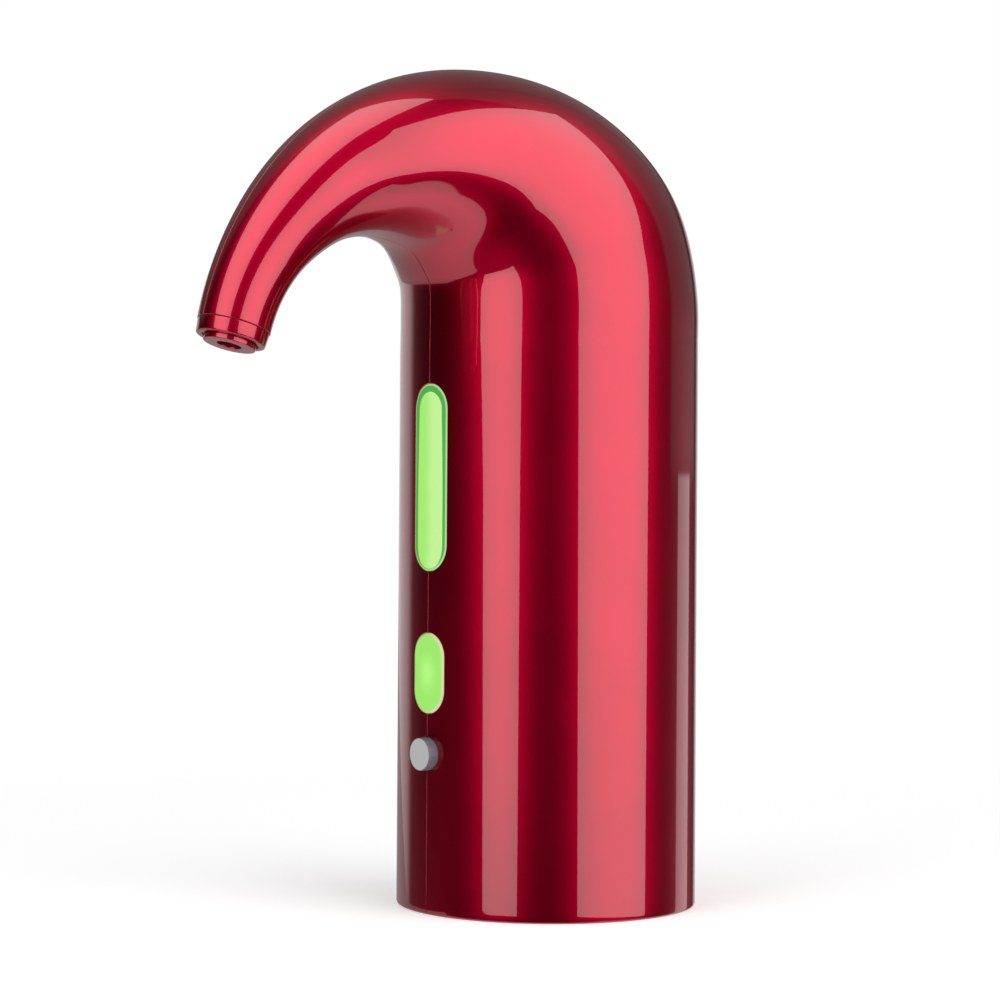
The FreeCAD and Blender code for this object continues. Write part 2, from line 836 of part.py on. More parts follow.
def chassis():
    """The upright frame with the shelf, the cradles and the board's standoffs."""
    half = frame_half_width
    solids = [block(-half, half, -frame_front, -frame_back, cover_top, frame_top)]
    shelf = cylinder(inner_radius - shelf_wall_gap, shelf_bottom, shelf_top)
    reach = body_radius
    solids.append(shelf.common(block(-reach, reach, -frame_front, reach, 0, shoulder_height)))
    cradle_top = shelf_top + cell_cradle_share * cell_length
    solids += half_cradle(cell_x, cell_y, cell_radius, shelf_top + cradle_foot, cradle_top)
    solids += half_cradle(pump_x, pump_y, motor_radius, motor_bottom + cradle_foot, motor_top - cradle_head)
    for x, z in standoffs():
        solids.append(rod(standoff_radius, x, z, board_back, frame_front))
    frame = fused(solids)
    cuts = [
        cylinder(well_outer + loose, cover_top, lid_top + loose),
        cylinder(hose_radius + 2 * slip, shelf_bottom - 1, shelf_top + 1),
        cylinder(air_hose_radius + slip, shelf_bottom - 1, shelf_top + 1, air_x, air_y),
    ]
    for x, z in standoffs():
        cuts.append(rod(screw_hole_radius, x, z, board_back + 1, frame_back - 1))
    for z in (frame_boss_low, frame_boss_high):
        cuts.append(rod(screw_radius + slip, -frame_boss_x, z, frame_front + 1, frame_back - 1))
    slot = 3 * lead_radius
    for x, z in lead_crossings():
        cuts.append(block(x - slot, x + slot, -frame_front - 1, -frame_back + 1, z - slot, z + slot))
    return frame.cut(Part.makeCompound(cuts))


def lead_crossings():
    """Places, as (x, z), where the leads pass through the frame to the board."""
    contact_top = shelf_top + 2 * contact_thickness + cell_length
    motor_level = motor_top + motor_rear_boss + lead_rise + lead_bend
    return [
        (motor_lead_x, motor_level),
        (motor_lead_x, motor_level + motor_lead_step),
        (cell_lead_x, contact_top + lead_rise + lead_bend),
        (cell_lead_x, shelf_top + contact_thickness + lead_radius),
    ]


def lead(x, start_y, start_z, level):
    """A lead that rises from its tab, bends forward and ends on the back of the board."""
    corner = Vector(x, start_y, level - lead_bend)
    turn = lead_bend * math.sqrt(0.5)
    middle = Vector(x, start_y - lead_bend + turn, level - lead_bend + turn)
    bend_end = Vector(x, start_y - lead_bend, level)
    start = Vector(x, start_y, start_z)
    edges = [
        Part.LineSegment(start, corner).toShape(),
        Part.Arc(corner, middle, bend_end).toShape(),
        Part.LineSegment(bend_end, Vector(x, -board_back, level)).toShape(),
    ]
    return swept(Part.Wire(edges), lead_radius, start, UP)


def motor_leads():
    """The motor's two leads, one above the other where they cross the frame."""
    levels = [z for x, z in lead_crossings()[:2]]
    tab_top = motor_top + motor_rear_boss
    front_tab = pump_y - motor_lead_pitch / 2
    back_tab = pump_y + motor_lead_pitch / 2
    return Part.makeCompound([
        lead(motor_lead_x, front_tab, tab_top, levels[0]),
        lead(motor_lead_x, back_tab, tab_top, levels[1]),
    ])


def cell_leads():
    """The cell's two leads: one over its top and one straight from the lower contact."""
    (x, top_level), (_, low_level) = lead_crossings()[2:]
    contact_top = shelf_top + 2 * contact_thickness + cell_length
    upper = lead(x, cell_y, contact_top, top_level)
    lower = rod(lead_radius, x, low_level, board_back, cell_tab_reach - cell_y)
    return Part.makeCompound([upper, lower])


def cell():
    """The rechargeable cell, standing between its contacts."""
    bottom = shelf_top + contact_thickness
    return cylinder(cell_radius, bottom, bottom + cell_length, cell_x, cell_y)


def cell_contacts():
    """The contact plates under and over the cell, each with the tab that its lead is soldered to."""
    half = contact_width / 2
    plates = []
    for bottom in (shelf_top, shelf_top + contact_thickness + cell_length):
        top = bottom + contact_thickness
        plates.append(block(cell_lead_x - 1, cell_x + half, cell_y - half, cell_y + half, bottom, top))
    tab_front = cell_y - cell_tab_reach - half
    tab = block(cell_lead_x - 1, cell_lead_x + 1, tab_front, cell_y, shelf_top, shelf_top + contact_thickness)
    plates[0] = fused([plates[0], tab])
    return Part.makeCompound(plates)


def pump_places():
    """Places of the pump's screws."""
    return [(pump_x + x, pump_y + y) for x, y in around(pump_screw_circle, pump_angles)]


def cup_places():
    """Places of the diaphragm's cups, between the screws."""
    return [(pump_x + x, pump_y + y) for x, y in around(cup_circle, [angle + 60 for angle in pump_angles])]


def screw_way(bottom, top):
    """Holes for the pump's screws."""
    holes = [cylinder(pump_screw_radius + slip / 2, bottom, top, x, y) for x, y in pump_places()]
    return Part.makeCompound(holes)


def pump_cover():
    """The pump's end cover, with the outlet barb below and the pressure chamber above."""
    plate = cylinder(pump_radius, shelf_top, valve_plate_bottom, pump_x, pump_y)
    barb_end = shelf_top - air_barb_length - air_boss_height
    barb = cylinder(air_hose_bore - slip / 2, barb_end, shelf_top, air_x, air_y)
    cover = fused([plate, barb])
    chamber_floor = valve_plate_bottom - pump_chamber_depth
    above = valve_plate_bottom + 1
    bore = air_barb_bore
    chamber = cylinder(cup_radius, chamber_floor, above, pump_x, pump_y)
    duct = block(pump_x, air_x, pump_y - bore, pump_y + bore, chamber_floor, above)
    passage = cylinder(bore, barb_end - 1, above, air_x, air_y)
    inlet_start = Vector(pump_x, pump_y + pump_radius - pump_inlet_length, chamber_floor)
    inlet = Part.makeCylinder(bore, pump_inlet_length, inlet_start, BACK)
    cuts = [chamber, duct, passage, inlet]
    for x, y in pump_places():
        cuts.append(cylinder(pump_head_radius + slip, shelf_top - 1, shelf_top + head_height + slip, x, y))
    cuts.append(screw_way(shelf_top, valve_plate_bottom + 1))
    return cover.cut(Part.makeCompound(cuts))


def valve_plate():
    """The plate with an inlet hole under each cup and the outlet hole in the middle."""
    plate = cylinder(pump_radius, valve_plate_bottom, diaphragm_bottom, pump_x, pump_y)
    holes = [cylinder(air_barb_bore, valve_plate_bottom - 1, diaphragm_bottom + 1, pump_x, pump_y)]
    for x, y in cup_places():
        holes.append(cylinder(air_barb_bore, valve_plate_bottom - 1, diaphragm_bottom + 1, x, y))
    holes.append(screw_way(valve_plate_bottom - 1, diaphragm_bottom + 1))
    return plate.cut(Part.makeCompound(holes))


def pump_diaphragm():
    """The rubber sheet with three cups, whose stems stay just under the swing plate's lowest sweep."""
    sweep = pivot_height - arm_reach * math.sin(math.radians(pin_lean))
    solids = [cylinder(pump_radius, diaphragm_bottom, housing_bottom, pump_x, pump_y)]
    hollows = []
    cup_top = housing_bottom + cup_height
    for x, y in cup_places():
        solids.append(cylinder(cup_radius, housing_bottom, cup_top, x, y))
        solids.append(cylinder(cup_stem_radius, cup_top, sweep - loose, x, y))
        hollows.append(cylinder(cup_radius - cup_wall, diaphragm_bottom - 1, cup_top - cup_wall, x, y))
    hollows.append(screw_way(diaphragm_bottom - 1, housing_bottom + 1))
    return fused(solids).cut(Part.makeCompound(hollows))


def pump_housing():
    """The housing round the swing plate, open below and with the motor's seat above."""
    body = cylinder(pump_radius, housing_bottom, motor_bottom, pump_x, pump_y)
    cuts = [
        cylinder(housing_cavity_radius, housing_bottom - 1, housing_ceiling, pump_x, pump_y),
        cylinder(motor_boss_radius + slip, housing_bottom, motor_bottom + 1, pump_x, pump_y),
        screw_way(housing_bottom - 1, shelf_top + head_height + pump_screw_length + slip),
    ]
    return body.cut(Part.makeCompound(cuts))


def pump_screws():
    """The screws that clamp the pump's plates, their heads sunk in the cover."""
    screws = []
    head_top = shelf_top + head_height + slip
    for x, y in pump_places():
        head = cylinder(pump_head_radius, shelf_top + slip, head_top, x, y)
        shank = cylinder(pump_screw_radius, head_top, head_top + pump_screw_length - slip, x, y)
        screws.append(fused([head, shank]))
    return Part.makeCompound(screws)


def pump_motor():
    """The motor can with its bearing bosses, its terminal tabs and the well for its shaft."""
    solids = [
        cylinder(motor_radius, motor_bottom, motor_top, pump_x, pump_y),
        cylinder(motor_boss_radius, housing_ceiling, motor_bottom, pump_x, pump_y),
        cylinder(motor_boss_radius, motor_top, motor_top + motor_rear_boss, pump_x, pump_y),
    ]
    half_tab = motor_tab_width / 2
    half_thick = motor_tab_thickness / 2
    for y in (pump_y - motor_lead_pitch / 2, pump_y + motor_lead_pitch / 2):
        tab = block(-half_tab, half_tab, -half_thick, half_thick, motor_top, motor_top + motor_rear_boss)
        tab.translate(Vector(motor_lead_x, y, 0))
        solids.append(tab)
    shaft_top = eccentric_top - eccentric_height / 2 + shaft_length
    well = cylinder(shaft_radius + shaft_clearance, housing_ceiling - 1, shaft_top + loose, pump_x, pump_y)
    return fused(solids).cut(well)


def motor_shaft():
    """The motor's shaft, from the middle of the eccentric up into the can."""
    bottom = eccentric_top - eccentric_height / 2
    return cylinder(shaft_radius, bottom, bottom + shaft_length, pump_x, pump_y)


def on_pin_axis(solid):
    """Tilt a solid made about +Z at the origin onto the crank pin's leaning axis."""
    solid.rotate(Vector(0, 0, 0), BACK, pin_lean)
    solid.translate(Vector(pump_x, pump_y, pivot_height))
    return solid


def pin_length():
    """Length of the crank pin above the pivot: it ends inside the eccentric, under the shaft."""
    seat = eccentric_bottom + pin_seat_depth
    return (seat - pivot_height) / math.cos(math.radians(pin_lean))


def eccentric():
    """The wheel on the shaft, with the leaning hole for the crank pin and a cut-away light side."""
    wheel = cylinder(eccentric_radius, eccentric_bottom, eccentric_top, pump_x, pump_y)
    seat = eccentric_top - eccentric_height / 2
    bore = cylinder(shaft_radius + press_clearance, seat, eccentric_top + 1, pump_x, pump_y)
    pin_hole = on_pin_axis(cylinder(pin_radius + press_clearance, 0, pin_length() + press_clearance))
    reach = 2 * eccentric_radius
    step = eccentric_bottom + eccentric_height / 2
    light_side = block(-reach, -eccentric_radius / 2, -reach, reach, eccentric_bottom - 1, step)
    light_side.translate(pump_axis)
    return wheel.cut(bore).cut(pin_hole).cut(light_side)


def crank_pin():
    """The leaning steel pin that drives the swing plate."""
    return on_pin_axis(cylinder(pin_radius, -arm_thickness / 2, pin_length()))


def swing_plate():
    """The three armed plate that the pin tips round, one arm over each cup."""
    solids = [cylinder(hub_radius, -arm_thickness, hub_height)]
    for angle in pump_angles:
        arm = block(0, arm_reach - arm_width / 2, -arm_width / 2, arm_width / 2, 0, arm_thickness)
        end = cylinder(arm_width / 2, 0, arm_thickness, arm_reach - arm_width / 2, 0)
        limb = fused([arm, end])
        limb.rotate(Vector(0, 0, 0), UP, angle + 60)
        solids.append(limb)
    plate = fused(solids)
    bore = cylinder(pin_radius + shaft_clearance, -arm_thickness / 2 - loose, hub_height + 1)
    return on_pin_axis(plate.cut(bore))


def charge_board():
    """The small board that carries the charging socket."""
    top = port_height - port_depth_z / 2
    half = charge_board_half_width
    board = block(-half, half, charge_board_front, charge_board_back, top - charge_board_thickness, top)
    holes = []
    for x in (-charge_post_x, charge_post_x):
        holes.append(cylinder(charge_pin_radius + slip, top - wall, top + 1, x, charge_post_y))
    return board.cut(Part.makeCompound(holes))


def charge_socket():
    """The socket's shell with its mouth and its centre tongue."""
    bottom = port_height - port_depth_z / 2
    top = bottom + port_depth_z
    mouth = inner_radius - 2 * loose
    back = mouth - port_length
    half = port_width / 2
    metal = port_metal
    body = block(-half, half, back, mouth, bottom, top)
    rims = [edge for edge in body.Edges if abs(edge.BoundBox.YLength - port_length) < slip]
    body = body.makeFillet(port_corner, rims)
    hollow = block(metal - half, half - metal, back + 1, mouth + 1, bottom + metal, top - metal)
    tongue = block(-half / 2, half / 2, back + 1 - metal, mouth - 1, port_height - metal, port_height + metal)
    return fused([body.cut(hollow), tongue])


def screw_groups():
    """The screws that hold the board, the frame, the lid and the base cover."""
    board = [level_screw(x, z, board_front, board_thickness + frame_thickness, 1) for x, z in standoffs()]
    frame = []
    for z in (frame_boss_low, frame_boss_high):
        frame.append(level_screw(-frame_boss_x, z, frame_back, frame_screw_length, -1))
    lid_screws = []
    for x, y in around(ear_circle, ear_angles):
        lid_screws.append(upright_screw(x, y, lid_top, lid_screw_length, 1))
    base = []
    for x, y in around(post_circle, post_angles):
        base.append(upright_screw(x, y, cover_bottom + head_height - slip, base_screw_length, -1))
    return board, frame, lid_screws, base


def build():
    """Every piece by the name of its file."""
    left, right = half_shells()
    collar, tip, insert = nozzle_pieces()
    lower_hose, valve, upper_hose = air_line()
    board_screws, frame_screws, lid_screws, base_screws = screw_groups()
    return {
        "left_shell": left,
        "right_shell": right,
        "nozzle_collar": collar,
        "nozzle_tip": tip,
        "aerator_insert": insert,
        "light_window": light_window(),
        "light_guide": light_guide(),
        "pour_key": pour_key(),
        "power_button": power_button(),
        "pour_plunger": switch_plunger(key_height),
        "power_plunger": switch_plunger(button_height),
        "tact_switches": tact_switches(),
        "green_leds": green_leds(),
        "main_board": main_board(),
        "chassis": chassis(),
        "base_cover": base_cover(),
        "foot_ring": foot_ring(),
        "bottle_seal": bottle_seal(),
        "manifold": lid(),
        "wine_hose": wine_hose(),
        "air_hose_lower": lower_hose,
        "check_valve": valve,
        "air_hose_upper": upper_hose,
        "pump_cover": pump_cover(),
        "valve_plate": valve_plate(),
        "pump_diaphragm": pump_diaphragm(),
        "pump_housing": pump_housing(),
        "pump_screws": pump_screws(),
        "pump_motor": pump_motor(),
        "motor_shaft": motor_shaft(),
        "eccentric": eccentric(),
        "crank_pin": crank_pin(),
        "swing_plate": swing_plate(),
        "battery_cell": cell(),
        "cell_contacts": cell_contacts(),
        "motor_leads": motor_leads(),
        "cell_leads": cell_leads(),
        "charge_board": charge_board(),
        "charge_socket": charge_socket(),
        "board_screws": Part.makeCompound(board_screws),
        "frame_screws": Part.makeCompound(frame_screws),
        "manifold_screws": Part.makeCompound(lid_screws),
        "base_screws": Part.makeCompound(base_screws),
    }


os.makedirs(PARTS, exist_ok=True)
for node, shape in build().items():
    save(node, shape)
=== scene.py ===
import math

import bmesh
import bpy
import numpy as np
from bpy.props import FloatProperty, FloatVectorProperty, IntProperty, PointerProperty
from mathutils import Matrix


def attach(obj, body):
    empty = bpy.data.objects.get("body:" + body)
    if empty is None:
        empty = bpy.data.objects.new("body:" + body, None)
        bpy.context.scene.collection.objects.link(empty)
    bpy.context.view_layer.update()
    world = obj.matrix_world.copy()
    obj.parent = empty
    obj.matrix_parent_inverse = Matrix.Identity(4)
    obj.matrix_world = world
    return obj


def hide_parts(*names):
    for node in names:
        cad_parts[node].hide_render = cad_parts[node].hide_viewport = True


bl_info = {
    "name": "Electric wine aerator",
    "version": (1, 0, 0),
    "blender": (4, 5, 0),
    "location": "3D View > Sidebar > Aerator",
    "description": "Builds the visible surfaces, finishes and studio of an electric wine aerator",
    "category": "Add Mesh",
}

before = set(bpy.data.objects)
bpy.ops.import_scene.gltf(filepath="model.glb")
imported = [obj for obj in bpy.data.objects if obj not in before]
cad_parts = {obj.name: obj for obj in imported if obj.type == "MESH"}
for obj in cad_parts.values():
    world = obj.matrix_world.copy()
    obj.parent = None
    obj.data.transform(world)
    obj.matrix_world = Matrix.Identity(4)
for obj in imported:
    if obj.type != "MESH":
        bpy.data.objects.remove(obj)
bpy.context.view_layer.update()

MM = 0.001
FRONT = np.array([0.0, -1.0, 0.0])
RIGHT = np.array([1.0, 0.0, 0.0])
UP = np.array([0.0, 0.0, 1.0])

NECK_INSET = 0.06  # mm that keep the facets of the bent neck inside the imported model
END_CLEARANCE = 0.02  # mm between the neck's end and the joint with the collar
SEAM_WALL = 1.0  # mm that a sheet turns into the shell at a seam and at the neck's end
FOOT_WALL = 4.0  # mm that the underside turns up inside the foot
MERGE_DISTANCE = 0.002  # mm under which the points of neighbouring sheets are one
STRIP_WIDTH = 14.0  # mm of arc beside each seam that hold half of an opening
PORT_SPAN = (8.0, 18.0)  # mm of height that the wall round each opening takes up
BUTTON_SPAN = (30.0, 47.5)
KEY_SPAN = (47.5, 70.5)
WINDOW_SPAN = (80.0, 132.5)
BACK_TURNS = (70.1, 54.8, 41.9)  # degrees that the three arcs of each rail of the neck turn through
ARCH_TURNS = (72.4, 47.2, 47.7)
NEAR_EDGE = (0.0, 0.012, 0.03, 0.055)  # mm from a rounded edge where the closest points lie

WHITE = (1.0, 1.0, 1.0, 1.0)
PANEL_RADIANCE = 2.4
# Bearing and turn in degrees, level distance in metres between them, and the rows that add_softbox explains
LEFT_SOFTBOX = (-34.5, 0.386, 8.4, (
    (-0.160, 9.5, 0.193, 0.0), (0.1695, 9.5, 0.193, 0.0), (0.6225, 38.0, 0.193, 0.0)))
RIGHT_SOFTBOX = (46.6, 2.08, 22.1, (
    (-0.541, 9.1, 2.42, 0.0), (0.869, 9.1, 2.42, 0.0), (2.117, 24.0, 2.36, 0.9)))
# What stands round the object for reflections: two bearings and the softness of the edges, in degrees
BACKDROP = (-131.0, -200.0, 6.0)
STAND = (139.5, 118.5, 0.8)
SIDE_WALL = (150.0, 108.0, 3.0)
CEILING = (148.0, 255.0, 6.0)
BACKDROP_LEVEL = 0.7
STAND_LEVEL = 1.1
CEILING_LEVEL = 0.17
ROOM_LEVEL = 0.004
AMBIENT_LEVEL = 0.5
FLOOR_LIFT = 0.3


# Sizes and colours

def length_setting(name, description, metres):
    return FloatProperty(name=name, description=description, default=metres, unit="LENGTH")


def angle_setting(name, description, degrees):
    return FloatProperty(name=name, description=description, default=math.radians(degrees), subtype="ANGLE")


def colour_setting(name, description, linear):
    return FloatVectorProperty(name=name, description=description, default=linear, size=3, subtype="COLOR")


class HousingSizes(bpy.types.PropertyGroup):
    """The lacquered housing: a straight body that bends over into a tapering spout."""
    body_radius: length_setting("Body radius", "Radius of the straight body", 0.0375)
    wall: length_setting("Wall", "Thickness of the shells", 0.0022)
    shoulder_height: length_setting("Shoulder height", "Height where the body starts to bend", 0.1495)
    lead_in: length_setting("Lead in", "Straight length under the shoulder that the bend's curve takes in", 0.012)
    nozzle_reach: length_setting("Nozzle reach", "Distance of the spout's end in front of the axis", 0.0948)
    nozzle_height: length_setting("Nozzle height", "Height of the spout's end", 0.1368)
    nozzle_radius: length_setting("Nozzle radius", "Radius of the spout's end", 0.00835)
    nozzle_lean: angle_setting("Nozzle lean", "Angle of the spout's end from straight down", 16)
    collar_height: length_setting("Collar height", "Height of the collar that ends the spout", 0.0034)
    joint_radius: length_setting("Joint radius", "Radius of the shells where they meet the collar", 0.008724)
    back_first_radius: length_setting("Back radius", "First bend radius of the back edge", 0.0555)
    arch_first_radius: length_setting("Arch radius", "First bend radius under the arch", 0.0132)
    seam_gap: length_setting("Seam gap", "Gap between the half shells", 0.00008)
    seam_round: length_setting("Seam edge", "Edge radius of the half shells along the seam", 0.00016)
    opening_round: length_setting("Opening edge", "Edge radius of the openings", 0.00018)
    foot_round: length_setting("Foot edge", "Edge radius at the foot", 0.0006)
    neck_rows: IntProperty(name="Neck rows", description="Rows of the bent neck's surface", default=170, min=20)


class FrontSizes(bpy.types.PropertyGroup):
    """The window, the keys and the charging opening."""
    window_width: length_setting("Window width", "Width of the lit window", 0.0125)
    window_length: length_setting("Window length", "Length of the lit window", 0.0454)
    window_height: length_setting("Window height", "Height of the window's middle", 0.1062)
    key_width: length_setting("Key width", "Width of the pour key", 0.0114)
    key_length: length_setting("Key length", "Length of the pour key", 0.0194)
    key_height: length_setting("Key height", "Height of the pour key's middle", 0.0586)
    key_stand: length_setting("Key stand", "How far the key's face stands out from the body", 0.0003)
    button_radius: length_setting("Button radius", "Radius of the power button", 0.004)
    button_height: length_setting("Button height", "Height of the power button's middle", 0.039)
    button_stand: length_setting("Button stand", "How far the button stands out", 0.0024)
    port_width: length_setting("Port width", "Width of the charging opening", 0.0094)
    port_depth: length_setting("Port depth", "Height of the charging opening", 0.0036)
    port_height: length_setting("Port place", "Height of the charging opening's middle", 0.0128)
    opening_gap: length_setting("Opening gap", "Gap round the window and the keys", 0.00013)


class FinishColours(bpy.types.PropertyGroup):
    """Colours of the finishes, as linear values."""
    lacquer: colour_setting("Lacquer", "Metallic red of the shells", (0.43, 0.0005, 0.023))
    window_glow: colour_setting("Window glow", "Brightest colour of the lit window", (0.58, 0.92, 0.33))
    window_deep: colour_setting("Window shade", "Greener side of the lit window", (0.40, 0.86, 0.17))
    window_band: colour_setting("Window band", "Green of the window's darker border", (0.08, 0.38, 0.075))
    # painted highlight: the pale line round the window stands in for light caught on its edge
    window_rim_highlight: colour_setting("Window rim", "Pale line round the window", (0.37, 0.74, 0.26))
    key_glow: colour_setting("Key glow", "Brightest colour of the lit key", (0.45, 0.95, 0.22))
    key_deep: colour_setting("Key shade", "Greener border of the lit key", (0.33, 0.80, 0.14))
    # painted shade: the dark left side of the key's rim stands in for shade
    key_rim_painted_shade: colour_setting("Key rim, left", "Dark side of the key's rim", (0.20, 0.30, 0.11))
    # painted highlight: the cream right side of the key's rim stands in for light caught on it
    key_rim_painted_highlight: colour_setting("Key rim, right", "Cream side of the key's rim", (0.62, 0.66, 0.36))
    button: colour_setting("Button grey", "Grey of the power button", (0.42, 0.42, 0.42))
    # painted shade: the darker grey round the button stands in for shade on its side
    button_side_painted_shade: colour_setting("Button side", "Grey round the power button", (0.13, 0.13, 0.145))


class StudioSettings(bpy.types.PropertyGroup):
    """The camera and the softboxes."""
    azimuth: angle_setting("Azimuth", "Camera's angle round the object from the front", 50.546)
    distance: length_setting("Distance", "Camera's level distance from the body's axis", 0.66)
    height: length_setting("Height", "Camera's height", 0.096921)
    yaw: angle_setting("Yaw", "Camera's turn off the axis", -1.05)
    pitch: angle_setting("Pitch", "Camera's tilt upwards", 0.349)
    roll: angle_setting("Roll", "Camera's roll", 0.378)
    lens: FloatProperty(name="Lens", description="Focal length on a 36 mm frame, in mm", default=94.263)
    softbox_level: FloatProperty(name="Softboxes", description="Brightness of the softboxes", default=1.0, min=0.0)


# Surfaces

def grid_quads(rows, columns, start=0, flip=False):
    """Corner numbers of the quads of a grid: (i, j), (i, j+1), (i+1, j+1), (i+1, j), or the other way round."""
    index = start + np.arange(rows * columns).reshape(rows, columns)
    corners = [index[:-1, :-1], index[:-1, 1:], index[1:, 1:], index[1:, :-1]]
    if flip:
        corners.reverse()
    return np.stack(corners, axis=-1).reshape(-1, 4)


def add_piece(name, sheets, body, material, nodes, flip=False, side=0):
    """A smooth mesh from point sheets in millimetres, merged where they meet, that rides on a body.

    With a side, its faces are all turned outwards on that side.
    """
    points = []
    quads = []
    count = 0
    for sheet in sheets:
        rows, columns = sheet.shape[:2]
        points.append(sheet.reshape(-1, 3))
        quads.append(grid_quads(rows, columns, count, flip))
        count += rows * columns
    mesh = bpy.data.meshes.new(name)
    mesh.from_pydata(np.concatenate(points) * MM, [], np.concatenate(quads))
    shape = bmesh.new()
    shape.from_mesh(mesh)
    bmesh.ops.remove_doubles(shape, verts=shape.verts, dist=MERGE_DISTANCE * MM)
    bmesh.ops.dissolve_degenerate(shape, edges=shape.edges, dist=MERGE_DISTANCE / 4 * MM)
    if side:
        bmesh.ops.recalc_face_normals(shape, faces=shape.faces)
        if sum(face.normal.x * side * face.calc_area() for face in shape.faces) < 0:
            bmesh.ops.reverse_faces(shape, faces=shape.faces)
    for face in shape.faces:
        face.smooth = True
    shape.to_mesh(mesh)
    shape.free()
    piece = bpy.data.objects.new(name, mesh)
    bpy.context.scene.collection.objects.link(piece)
    mesh.materials.append(material)
    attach(piece, body)
    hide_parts(*nodes)


def roll_depth(distance, radius):
    """Depth of a rounded edge: a quarter circle that ends at the radius from the edge."""
    inside = np.clip(radius - distance, 0.0, radius)
    return radius - np.sqrt(np.maximum(radius ** 2 - inside ** 2, 0.0))


def rounded_box_distance(across, along, half_width, half_length, corner):
    """Signed distance from a rounded rectangle: length of the part outside its inner box, less the corner."""
    out_x = np.abs(across) - (half_width - corner)
    out_y = np.abs(along) - (half_length - corner)
    outside = np.hypot(np.maximum(out_x, 0.0), np.maximum(out_y, 0.0))
    return outside + np.minimum(np.maximum(out_x, out_y), 0.0) - corner


def rounded_box_outline(half_width, half_length, corner):
    """Right half of a rounded rectangle from its lowest middle point to its highest, as dense points."""
    turn = np.linspace(-math.pi / 2, 0.0, 60)
    across = half_width - corner + corner * np.cos(turn)
    along = corner * np.sin(turn) - half_length + corner
    lower = np.stack([np.append(0.0, across), np.append(-half_length, along)], axis=1)
    return np.concatenate([lower, lower[::-1] * [1.0, -1.0]])


def along_outline(outline, places):
    """Points at places from 0 to 1 along an outline, by its running length."""
    steps = np.hypot(*np.diff(outline, axis=0).T)
    length = np.concatenate([[0.0], np.cumsum(steps)])
    length /= length[-1]
    return np.stack([np.interp(places, length, outline[:, 0]), np.interp(places, length, outline[:, 1])], axis=1)


def cubic_through(points, places, samples, start_slope):
    """Values of the cubic spline through the points, from its second derivatives.

    It starts with the given slope, and its last two spans share one cubic.
    """
    step = np.diff(places)
    slope = np.diff(points, axis=0) / step[:, None]
    count = len(places)
    system = np.zeros((count, count))
    system[0, :2] = 2 * step[0], step[0]
    system[-1, -3:] = step[-1], -(step[-2] + step[-1]), step[-2]
    inner = np.arange(1, count - 1)
    system[inner, inner - 1] = step[:-1]
    system[inner, inner] = 2 * (step[:-1] + step[1:])
    system[inner, inner + 1] = step[1:]
    right = np.zeros_like(points)
    right[0] = 6 * (slope[0] - start_slope)
    right[1:-1] = 6 * np.diff(slope, axis=0)
    bend = np.linalg.solve(system, right)
    span = np.clip(np.searchsorted(places, samples) - 1, 0, count - 2)
    width = step[span][:, None]
    before = (places[span + 1] - samples)[:, None] / width
    after = 1.0 - before
    line = before * points[span] + after * points[span + 1]
    curve = (before ** 3 - before) * bend[span] + (after ** 3 - after) * bend[span + 1]
    return line + curve * width ** 2 / 6


def side_vector(heading):
    """Unit vectors, as (forward, up), to the right of headings in degrees above the horizontal."""
    angle = np.radians(heading)
    return np.stack([np.sin(angle), -np.cos(angle)], axis=-1)


def rail_points(start, end, first_radius, turns):
    """Points, as (forward, up), where a rail's three tangent arcs are cut into thirds.

    Each arc adds its radius times the difference of its side vectors. The first radius is given,
    and the other two bring the rail to its end.
    """
    headings = 90.0 - np.concatenate([[0.0], np.cumsum(turns)])
    sides = side_vector(headings)
    steps = sides[:-1] - sides[1:]
    rest = np.array(end) - np.array(start) - first_radius * steps[0]
    radii = np.concatenate([[first_radius], np.linalg.solve(steps[1:].T, rest)])
    corners = np.array(start) + np.concatenate([np.zeros((1, 2)), np.cumsum(radii[:, None] * steps, axis=0)])
    shares = np.array([1.0, 2.0, 3.0]) / 3.0
    points = [np.array([start])]
    for corner, radius, heading, turn, side in zip(corners, radii, headings, turns, sides):
        points.append(corner + radius * (side - side_vector(heading - turn * shares)))
    return np.concatenate(points)


